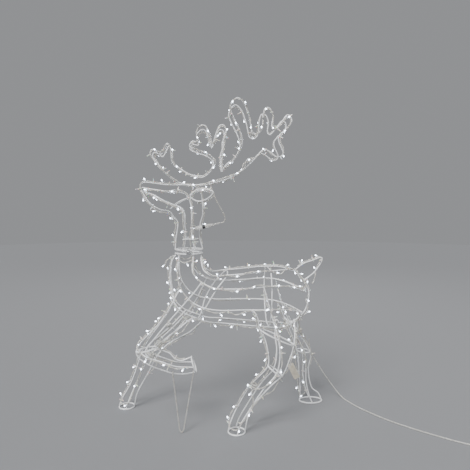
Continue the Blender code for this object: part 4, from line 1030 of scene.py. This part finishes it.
def body_strings():
    for side, first in (("left", 0.030), ("right", 0.052)):
        sided = SIDED[side]
        parts = Parts()
        axis = np.array(BODY_AXIS) * sided
        belly, flank, shoulder, back = (
            along_wire(parts, smooth(points, COARSE)[2:-2] * sided, axis, BODY_SLACK[side][name])
            for name, points in (("belly", BELLY), ("flank", FLANK), ("shoulder", SHOULDER),
                                 ("back", BACK)))
        run_chain(parts, [belly, back_to_front(flank), shoulder, back_to_front(back)],
                  [np.array(points) * sided for points in BODY_LINKS], first)
        if side == "left":
            rump = along_wire(parts, smooth(RUMP, COARSE)[3:-3], BODY_AXIS,
                              [((0.3380, -0.004, 0.392), 0.040)], 0.045)
            string(parts, [rump], 0.020, 0.052)
            tail = along_wire(parts, smooth(TAIL, MEDIUM)[3:-3], mm((345, 0, 470), (400, 0, 500)),
                              [((0.372, 0.0, 0.446), 0.045)], 0.050)
            string(parts, [tail], 0.012, 0.058)
        parts.make("body_lights_" + side, "frame", "body_lights_" + side)


# bigger loops of the leg strings: wire, peak, width
LEG_SLACK = {"rear_left": [("outer", (0.143, -0.124, 0.144), 0.050)],
             "rear_right": [("outer", (0.391, 0.118, 0.240), 0.060)]}
# part of their length that the plain cables run down each leg's other wires
PLAIN_PART = {"rear_left": 0.80, "rear_right": 0.62, "front_right": 0.72, "front_left": 0.93}
# spare cable wound near the joints: centre, direction of the windings, radius, turns
SPARE = {"front_left": [((-0.126, -0.100, 0.287), (0.7, 0.1, 0.6), 0.0150, 3),
                        ((-0.098, -0.098, 0.342), (0.62, 0.2, 0.76), 0.0110, 2),
                        ((-0.148, -0.106, 0.250), (1.0, 0.0, -0.5), 0.0110, 2)],
         "rear_left": [((0.160, -0.112, 0.152), (0.5, 0.0, 0.86), 0.0110, 2),
                       ((0.264, -0.072, 0.328), (0.2, 0.0, 1.0), 0.0140, 3)],
         "rear_right": [((0.347, 0.100, 0.262), (0.1, 0.0, 1.0), 0.0130, 2)]}


def leg_strings():
    for name, spec in LEGS.items():
        parts = Parts()
        axis = np.array(LEG_AXES[name], float)
        runs = []
        for key in LEG_RUNS[name]:
            wire = smooth(spec[key], COARSE)[3:-3]
            if name == "front_left":
                above = key == LEG_RUNS[name][0]
                wire = wire[wire[:, 2] > KNEE_TOP] if above else wire[wire[:, 2] < KNEE_BOTTOM]
            slack = [(p, w) for k, p, w in LEG_SLACK.get(name, ()) if k == key]
            runs.append(along_wire(parts, wire, axis, slack, 0.062, depths=LEG_DEPTHS))
        if name == "front_left":
            run_chain(parts, runs, [KNEE_CROSSING], 0.022, 0.058)
        else:
            turn = (runs[0][0][-1] + runs[1][0][-1]) / 2
            turn = turn + unit(turn - axis[-1] * np.array([1, 1, 0]) - [0, 0, turn[2]]) * 0.006
            run_chain(parts, [runs[0], back_to_front(runs[1])], [[turn]], 0.022, 0.060)
        for spare in SPARE.get(name, ()):
            spare_loops(parts, *spare)
        for key in ("front", "outer", "inner", "back"):
            if key not in LEG_RUNS[name]:
                wire = smooth(spec[key], COARSE)
                plain_run(parts, wire[6:int(len(wire) * PLAIN_PART[name])], axis)
        parts.make(name + "_leg_lights", "frame", name + "_leg_lights")


ANTLER_SLACK = [((0.051, -0.037, 0.836), 0.050), ((0.139, -0.052, 0.846), 0.050),
                ((0.226, -0.050, 0.960), 0.050), ((0.262, -0.050, 0.872), 0.050),
                ((0.156, -0.052, 0.912), 0.045)]


def antler_strings():
    for side, first, slack in (("left", 0.020, ANTLER_SLACK),
                               ("right", 0.048, ANTLER_SLACK[1:4:2])):
        sided = SIDED[side]
        parts = Parts()
        wire = antler_path()[4:-6]
        axis = (wire + np.array([0.0, 0.05, 0.0]))[::12]
        path, _ = along_wire(parts, wire * sided, axis * sided,
                             [(np.array(p) * sided, w) for p, w in slack], 0.070,
                             tails=(0.004, 0.010))
        out = np.tile([0.0, -sided[1], 0.0], (len(path), 1))
        string(parts, [(path, out)], first, 0.066)
        parts.make("antler_lights_" + side, "head", "antler_lights_" + side)


def head_string():
    parts = Parts()
    outline = along_wire(parts, smooth(OUTLINE, COARSE)[2:-3], HEAD_AXIS, (), 0.060)
    string(parts, [outline], 0.024, 0.060)
    for sided in SIDED.values():
        cheek = along_wire(parts, smooth(CHEEK, MEDIUM)[3:-3] * sided, HEAD_AXIS, (), 0.058)
        brow = along_wire(parts, smooth(BROW, MEDIUM)[3:-3] * sided, HEAD_AXIS, (), 0.052)
        string(parts, [cheek], 0.028, 0.078)
        string(parts, [brow], 0.012, 0.084)
        ear = smooth(EAR, FINE, True)[2:-8] * sided
        plain_run(parts, ear, [ear.mean(0) - [0, 0.001, 0], ear.mean(0)], 0.05,
                  (0.0008, 0.0016, 0.0030))
    parts.make("head_lights", "head", "head_lights")


# ---- fittings ----
CLAMP_R, BOLT_R = 0.0085, 0.0020
THREAD_DEPTH, THREAD_PITCH = 0.00025, 0.0007


def thread(start, radius, length):
    """Profile of a rolled thread as rings."""
    count = int(length / THREAD_PITCH)
    core = radius - THREAD_DEPTH
    rows = []
    for i in range(count):
        rows += [(start + i * THREAD_PITCH, core), (start + (i + 0.5) * THREAD_PITCH, radius)]
    return rows + [(start + count * THREAD_PITCH, core)]


def ribs(start, pitch, radii):
    """Profile with one raised rib for each radius."""
    rows = []
    for i, r in enumerate(radii):
        x = start + i * pitch
        rows += [(x, r), (x + 0.0006, r - 0.0006), (x + 0.0014, r - 0.0006), (x + 0.0020, r)]
    return rows


def turned_piece(name, origin, axis, profile, material, body, slot, replaces, sides, **flutes):
    shape = Shape()
    shape.turned(origin, axis, profile, sides, **flutes)
    return shape.make(name, material, body, slot, replaces, 50 if flutes else 40)


def neck_clamp(side, s):
    """Carriage bolt with washers through both neck rings, and its wing nut."""
    o = np.array([COLLAR_X, 0.0, (COLLAR_Z + NECK_Z) / 2])
    inner = COLLAR_R - RING_R - 0.0013
    outer = COLLAR_R + RING_R + 0.0003
    turned_piece("neck_bolt_%s_threaded" % side, o, (0, s, 0),
                 [(inner - 0.0048, 0.0), (inner - 0.0046, 0.0018), (inner - 0.0036, 0.0033),
                  (inner - 0.0020, 0.0038), (inner - 0.0018, 0.0042),
                  (inner - 0.0018, CLAMP_R - 0.0003), (inner - 0.0014, CLAMP_R),
                  (inner - 0.0004, CLAMP_R), (inner, CLAMP_R - 0.0003), (inner, BOLT_R)]
                 + thread(inner + 0.0004, BOLT_R, outer + 0.0096 - inner)
                 + [(outer + 0.0102, BOLT_R * 0.6), (outer + 0.0103, 0.0)],
                 PLATED, "head", "plated_steel", ["neck_bolt_" + side], 28)
    nut = Shape()
    seat = o + np.array([0.0, s * outer, 0.0])
    hole = BOLT_R + 0.0004
    nut.turned(seat, (0, s, 0), [(0.0, hole), (0.0, CLAMP_R - 0.0003), (0.0003, CLAMP_R),
                                 (0.0011, CLAMP_R), (0.0014, CLAMP_R - 0.0003),
                                 (0.0014, 0.0048), (0.0026, 0.0044), (0.0052, 0.0040),
                                 (0.0066, 0.0037), (0.0070, 0.0032), (0.0070, hole)], 28)
    wing = mm((3.0, 4.0), (6.2, 5.2), (9.6, 7.2), (11.8, 9.0), (12.7, 9.9))
    for k in (-1.0, 1.0):
        path = np.array([seat + [k * x, s * y, 0.0] for x, y in wing])
        nut.slab(path, (0, 0, 1), 0.0010, [0.0022, 0.0024, 0.0027, 0.0024, 0.0012])
    nut.make("neck_wing_nut_%s_cast" % side, PLATED, side + "_wing_nut", "plated_steel",
             ["neck_wing_nut_" + side], 40)


def hip_bolts():
    head = mm((2.2, 2.2), (2.2, 5.0), (2.6, 5.2), (3.4, 4.8), (4.1, 3.6), (4.4, 1.8), (4.4, 0))
    for name, spec in LEGS.items():
        turned_piece(name + "_hip_bolt_domed", eyelet_centre(spec["outer"]),
                     (0, -1 if "left" in name else 1, 0),
                     mm((-6.0, 0), (-6.0, 1.6)) + thread(-0.0056, 0.0022, 0.0076) + head,
                     PLATED, "frame", "plated_steel", [name + "_hip_bolt"], 24)


PROP_BEND = (0.0062, 0.0085)   # from the tip to where its bend starts: across, up


def prop_side(x, z, outward):
    """One hook, from its free end round the shin wire, and its stem to the bend."""
    hook = [np.array([x, SHIN_Y + HOOK_R * math.cos(a), z + HOOK_R * math.sin(a)])
            for a in (math.radians(180 - 45 * k) for k in range(7))]
    end = np.array(PROP_TIP) + [outward * PROP_BEND[0], 0.0, PROP_BEND[1]]
    return hook + [hook[-1] + (end - hook[-1]) * u for u in (0.3, 0.65, 0.9, 1.0)]


def ground_prop():
    points = (prop_side(HOOK_X[0], HOOK_Z[0], -1) + [PROP_TIP]
              + prop_side(HOOK_X[1], HOOK_Z[1], 1)[::-1])
    shape = Shape()
    shape.tube(smooth(points, 0.002), PROP_R, WIRE_SIDES)
    shape.make("ground_prop_wire", BARE, "prop", "plated_steel", ["ground_prop"])


PLUG_REACH, SOCKET_REACH = 0.0446, 0.0186      # where the cables leave, along PLUG_DIR


def connector():
    """Screwed in-line connector on the neck, with both its cables."""
    at, d = np.array(PLUG_AT), np.array(PLUG_DIR)
    k = float(np.linalg.norm(d))
    turned_piece("connector_socket_moulded", at, d,
                 [(-0.0180 * k, 0.0), (-0.0180 * k, 0.0024), (-0.0165 * k, 0.0032),
                  (-0.0150 * k, 0.0043), (-0.0138 * k, 0.0044), (-0.0010, 0.0044),
                  (0.0, 0.0040), (0.0, 0.0)],
                 WHITE, "head", "white_plastic", ["connector_socket"], 24)
    turned_piece("connector_nut_fluted", at, d,
                 mm((-13.5, 4.8), (-13.5, 6.6), (-13.0, 7.2), (-8.5, 7.2), (-8.2, 6.9),
                    (-7.2, 6.9), (-6.9, 7.2), (5.5, 7.2), (6.5, 6.6), (6.5, 4.8)),
                 WHITE, "coupling_nut", "white_plastic", ["connector_nut"], 96, flutes=16,
                 depth=0.10)
    turned_piece("connector_plug_moulded", at, d,
                 mm((0.4, 0), (0.4, 3.8), (0.9, 4.3), (3.0, 4.3), (3.3, 3.9), (4.5, 3.9),
                    (4.8, 4.3), (7.5, 4.3), (7.5, 5.5), (8.0, 5.8), (14.8, 5.8), (15.5, 5.4),
                    (15.5, 0)),
                 BLACK, "plug", "black_plastic", ["connector_plug"], 28)
    radii = (0.0056, 0.0058, 0.0058, 0.0056, 0.0051, 0.0044, 0.0036)
    turned_piece("plug_sleeve_ribbed", at, d,
                 mm((15.8, 0), (15.8, 5.2), (16.2, 5.6)) + ribs(0.0190, 0.0034, radii)
                 + [(0.0436 * k, 0.0025), (0.0440 * k, 0.0021), (0.0440 * k, 0.0)],
                 SLEEVE_CLEAR, "plug", "clear_cable", ["plug_sleeve"], 24)
    end = at + d * PLUG_REACH
    lead_loop = [end, end + d * 0.010] + mm((71, -16.5, 648), (76.5, -18, 657), (74, -21, 668),
                                            (60, -27, 694), (46, -31, 720), (37, -33, 740),
                                            (31, -34, 758))
    neck_feed = mm((-30, -12, 500), (-31, -12, 530), (-33, -13, 565), (-36, -14, 600),
                   (-33, -16, 619)) + [at - d * SOCKET_REACH]
    for stem, points, bodies, reach, node in (
            ("plug_lead", lead_loop, ("plug", "head"), 1.0, "plug_lead"),
            ("neck_feed", neck_feed, ("frame", "head"), 0.8, "neck_feed_cable")):
        parts = Parts()
        path = smooth(points, FINE)
        pair(parts, path, capped=False)
        for ob in parts.make_cable(stem, None, [node]):
            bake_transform(ob)


# ---- power lead ----
COIL_AT = (0.845, -0.275)
COIL_INNER, COIL_OUTER = 0.0162, 0.0344    # centre lines of the inmost and outmost turn
GROUND_Z = 0.0023                          # centre of the lead where it lies on the ground
ADAPTER_SIZE = np.array([0.046, 0.040, 0.0314])
ADAPTER_FOOT = np.array([COIL_AT[0] + 0.037 + 0.060, COIL_AT[1] + 0.035, 0.0])
PIN_LENGTH, PIN_SPACING, PIN_R, PIN_ROOT = 0.022, 0.019, 0.0020, 0.003
GLAND_LENGTH, GLAND_Z = 0.0235, 0.0100
GLAND_ROOT = ADAPTER_FOOT + np.array([-ADAPTER_SIZE[0] / 2 - 0.0003, 0.0, GLAND_Z])
GLAND_TIP = GLAND_ROOT - np.array([GLAND_LENGTH, 0.0, 0.0])
LEAD_IN_ADAPTER = 0.034    # how far the lead runs on inside the gland and the adapter
PER_TURN = 36              # points in one turn of the coil
LAYERS = 5
LAYER_RISE = 2.01 * LEAD_R
CLIMB = 16                 # points over which the lead climbs to the next layer
EXIT_R = 0.0362            # where the last turn, laid over the top, leaves the coil
COIL_TOP = GROUND_Z + LEAD_R + LAYERS * LAYER_RISE


def coil_points():
    """Layers of turns wound inwards and outwards by turns, then one turn over the top."""
    points, angle, radius, z = [], math.pi / 2, COIL_OUTER, GROUND_Z
    step = 2 * math.pi / PER_TURN

    def put():
        points.append((COIL_AT[0] + radius * math.cos(angle),
                       COIL_AT[1] + radius * math.sin(angle), z))

    for layer in range(LAYERS):
        way, goal = (-1, COIL_INNER) if layer % 2 == 0 else (1, COIL_OUTER)
        while (goal - radius) * way > 0.0:
            put()
            angle -= step
            radius += way * 2 * LEAD_R / PER_TURN
        radius = goal
        for _ in range(CLIMB):
            put()
            angle -= step
            z += LAYER_RISE / CLIMB
    left = round((angle - math.pi / 2) / step) % PER_TURN + PER_TURN
    left = left - PER_TURN if left > 1.6 * PER_TURN else left
    start = radius
    for i in range(left + 1):
        radius = start + (EXIT_R - start) * (i / left) ** 1.3
        put()
        angle -= step
    return points


def power_lead():
    """The lead's jacket along its whole route, and its length."""
    top = COIL_TOP - LEAD_R
    tail = [(COIL_AT[0] + 0.013, GLAND_TIP[1] + 0.0026, top - 0.0003),
            (COIL_AT[0] + 0.026, GLAND_TIP[1] + 0.0020, top - 0.0042),
            (COIL_AT[0] + 0.038, GLAND_TIP[1] + 0.0006, GLAND_TIP[2] + 0.0026),
            (GLAND_TIP[0] - 0.003, GLAND_TIP[1], GLAND_TIP[2] + 0.0001),
            GLAND_TIP + [0.012, 0, 0], GLAND_TIP + [LEAD_IN_ADAPTER, 0, 0]]
    fine = smooth(list(smooth(LEAD, 0.010))[:-1] + coil_points() + tail, 0.006)
    curve = bpy.data.curves.new("power_lead_jacket", "CURVE")
    curve.dimensions = "3D"
    curve.bevel_depth = LEAD_R
    curve.bevel_resolution = 3
    curve.use_fill_caps = True
    curve.resolution_u = 1
    line = curve.splines.new("POLY")
    line.points.add(len(fine) - 1)
    for point, p in zip(line.points, fine):
        point.co = (*(Vector(p) + SHIFT), 1.0)
    curve.materials.append(JACKET)
    ob = bpy.data.objects.new("power_lead_jacket", curve)
    return enlist(ob, "frame", ["power_lead", "lead_coil"]), lengths(fine)[-1]


def coil_ties():
    """Two flat straps round the section of the coil."""
    shape = Shape()
    low, high = 0.00016, COIL_TOP
    near, far = COIL_INNER - LEAD_R - 0.0004, COIL_OUTER + LEAD_R + 0.0004
    mid = 0.5 * (near + far)
    section = [(near, low + 0.001), (near + 0.001, low), (mid, low), (far - 0.001, low),
               (far, low + 0.001), (far, 0.5 * high), (far, high - 0.002), (far - 0.002, high),
               (mid, high + 0.0003), (near + 0.002, high), (near, high - 0.002),
               (near, 0.5 * high)]
    centre, up = np.array([*COIL_AT, 0.0]), np.array([0.0, 0.0, 1.0])
    for angle in (-math.pi / 2, math.pi):
        out = np.array([math.cos(angle), math.sin(angle), 0.0])
        along = np.array([-math.sin(angle), math.cos(angle), 0.0])
        strap = np.array([centre + out * r + up * z for r, z in section])
        shape.slab(strap, along, 0.0022, 0.00013, cyclic=True)
        head = np.array([centre + out * mid + up * (high + z) for z in (0.0003, 0.0011, 0.0017)])
        shape.slab(head, along, [0.0030, 0.0030, 0.0026], [0.0028, 0.0028, 0.0024])
    return shape.make("coil_ties", NYLON, "frame", "clear_cable", sharp=40)


def rounded_box(name, size, at, edge, replaces=()):
    """Box of black plastic with rounded edges."""
    bm = bmesh.new()
    bmesh.ops.create_cube(bm, size=1.0)
    bmesh.ops.scale(bm, vec=size, verts=bm.verts)
    bmesh.ops.bevel(bm, geom=bm.edges[:], offset=edge, segments=4, affect="EDGES", profile=0.6)
    mesh = bpy.data.meshes.new(name)
    bm.to_mesh(mesh)
    bm.free()
    mesh.materials.append(BLACK)
    mesh.shade_smooth()
    mesh.set_sharp_from_angle(angle=math.radians(40))
    ob = bpy.data.objects.new(name, mesh)
    ob.location = Vector(at) + SHIFT
    return enlist(ob, "frame", replaces)


def adapter():
    """Plug-in adapter with two round pins, seam, grip ribs and a ribbed cable gland."""
    length, width, height = ADAPTER_SIZE
    middle = ADAPTER_FOOT + np.array([0, 0, 0.0003 + height / 2])
    half = height / 2 - 0.0004
    made = [rounded_box(name, (length, width, half),
                        middle + np.array([0, 0, lift * (half / 2 + 0.0003)]), 0.0026, replaces)
            for name, lift, replaces in (("adapter_lower_shell", -1, ["adapter_plug"]),
                                         ("adapter_upper_shell", 1, ()))]
    made.append(rounded_box("adapter_seam_band", (length - 0.0012, width - 0.0012, 0.0030),
                            middle, 0.0006))
    pins = Shape()
    for side in (-1, 1):
        root = middle + np.array([length / 2 - PIN_ROOT, side * PIN_SPACING / 2, 0])
        pins.turned(root, (1, 0, 0), [(0.0, 0.0), (0.0, PIN_R), (PIN_LENGTH - 0.0016, PIN_R),
                                      (PIN_LENGTH - 0.0006, PIN_R * 0.8),
                                      (PIN_LENGTH, PIN_R * 0.35), (PIN_LENGTH, 0.0)], 20)
    made.append(pins.make("adapter_pins", PLATED, "frame", "plated_steel", sharp=40))
    grips = Shape()
    for side in (-1, 1):
        for i in range(5):
            path = np.array([middle + [-0.012 + i * 0.0045, side * (width / 2 - 0.0004), z]
                             for z in (-0.010, -0.009, 0.009, 0.010)])
            grips.slab(path, (1, 0, 0), 0.0010, [0.0003, 0.0004, 0.0004, 0.0003])
    made.append(grips.make("adapter_grip_ribs", BLACK, "frame", "black_plastic", sharp=40))
    profile = (mm((0, 0), (0, 4.5), (3.0, 4.5))
               + ribs(0.0040, 0.0030, [0.0043 - i * 0.00028 for i in range(6)])
               + [(0.0228, 0.0027), (GLAND_LENGTH, 0.0024), (GLAND_LENGTH, 0.0)])
    made.append(turned_piece("adapter_gland_ribbed", GLAND_ROOT, (-1, 0, 0), profile, BLACK,
                             "frame", "black_plastic", ["adapter_gland"], 20))
    return made


JOINT_LENGTH = 0.0140


def lead_joint():
    """Moulded joint where the power lead meets the strings, by the hind leg."""
    start = np.array(LEAD[0])
    onward = unit(np.array(LEAD[1]) - start)
    profile = mm((0, 0), (0, 2.6), (0.6, 3.0), (5.0, 4.2), (6.0, 4.4), (12.8, 4.4), (13.6, 3.8),
                 (14.0, 2.6)) + [(JOINT_LENGTH, 0.0)]
    gland = turned_piece("lead_gland_moulded", start - onward * 0.0003, -onward, profile, WHITE,
                         "frame", "white_plastic", ["lead_gland"], 22)
    parts = Parts()
    top = start - onward * JOINT_LENGTH
    pair(parts, smooth([top, top - onward * 0.012] + mm((386, 117.5, 202), (385, 112, 224)), FINE),
         capped=False)
    parts.make_cable("lead_joint", "frame")
    return gland


def cable_tag():
    """Blank film tag: a thin curled sheet with cut corners, hung from a strap."""
    half_width, half_height, corner = 0.011, 0.030, 0.003
    rows, cols = 24, 10
    tilt = math.radians(-27)
    across = np.array([math.cos(tilt), 0.0, -math.sin(tilt)])
    up = np.array([math.sin(tilt), 0.0, math.cos(tilt)])
    out = np.array([0.0, -1.0, 0.0])
    grid = []
    for i in range(rows + 1):
        v = -1 + 2 * i / rows
        cut = max(0.0, abs(v) * half_height - (half_height - corner))
        for j in range(cols + 1):
            u = -1 + 2 * j / cols
            bend = 0.0018 * math.sin(2.4 * v + 0.6) + 0.0012 * u * u
            grid.append(np.array(TAG_AT) + across * u * (half_width - cut)
                        + up * v * half_height + out * bend)
    n, m = len(grid), cols + 1
    faces = []
    for a in (i * m + j for i in range(rows) for j in range(cols)):
        faces += [(a, a + 1, a + m + 1, a + m), (n + a, n + a + m, n + a + m + 1, n + a + 1)]
    rim = [*range(cols + 1), *(i * m + cols for i in range(1, rows + 1)),
           *(rows * m + j for j in range(cols - 1, -1, -1)),
           *(i * m for i in range(rows - 1, 0, -1))]
    faces += [(b, a, n + a, n + b) for a, b in zip(rim, rim[1:] + rim[:1])]
    film = Shape()
    film.add(np.concatenate([grid + out * 0.00012, grid - out * 0.00012]), faces)
    film.make("cable_tag_film", FILM, "frame", "tag_film", ["cable_tag"], 40)
    strap = Shape()
    top = np.array(TAG_AT) + up * (half_height - 0.004)
    strap.slab(ring(top + up * 0.007 + out * 0.001, across * 0.0045, up * 0.0095, 24), (0, 1, 0),
               0.0011, 0.0004, cyclic=True)
    strap.make("cable_tag_strap", NYLON, "frame", "clear_cable")


# ---- making ----
lead, lead_length = power_lead()
on_lead = adapter() + [lead_joint(), coil_ties()]
body_wires()
for leg_name, leg_spec in LEGS.items():
    leg(leg_name, **leg_spec)
head_wires()
welds()
body_strings()
leg_strings()
antler_strings()
head_string()
neck_clamp("left", -1)
neck_clamp("right", 1)
hip_bolts()
ground_prop()
connector()
cable_tag()
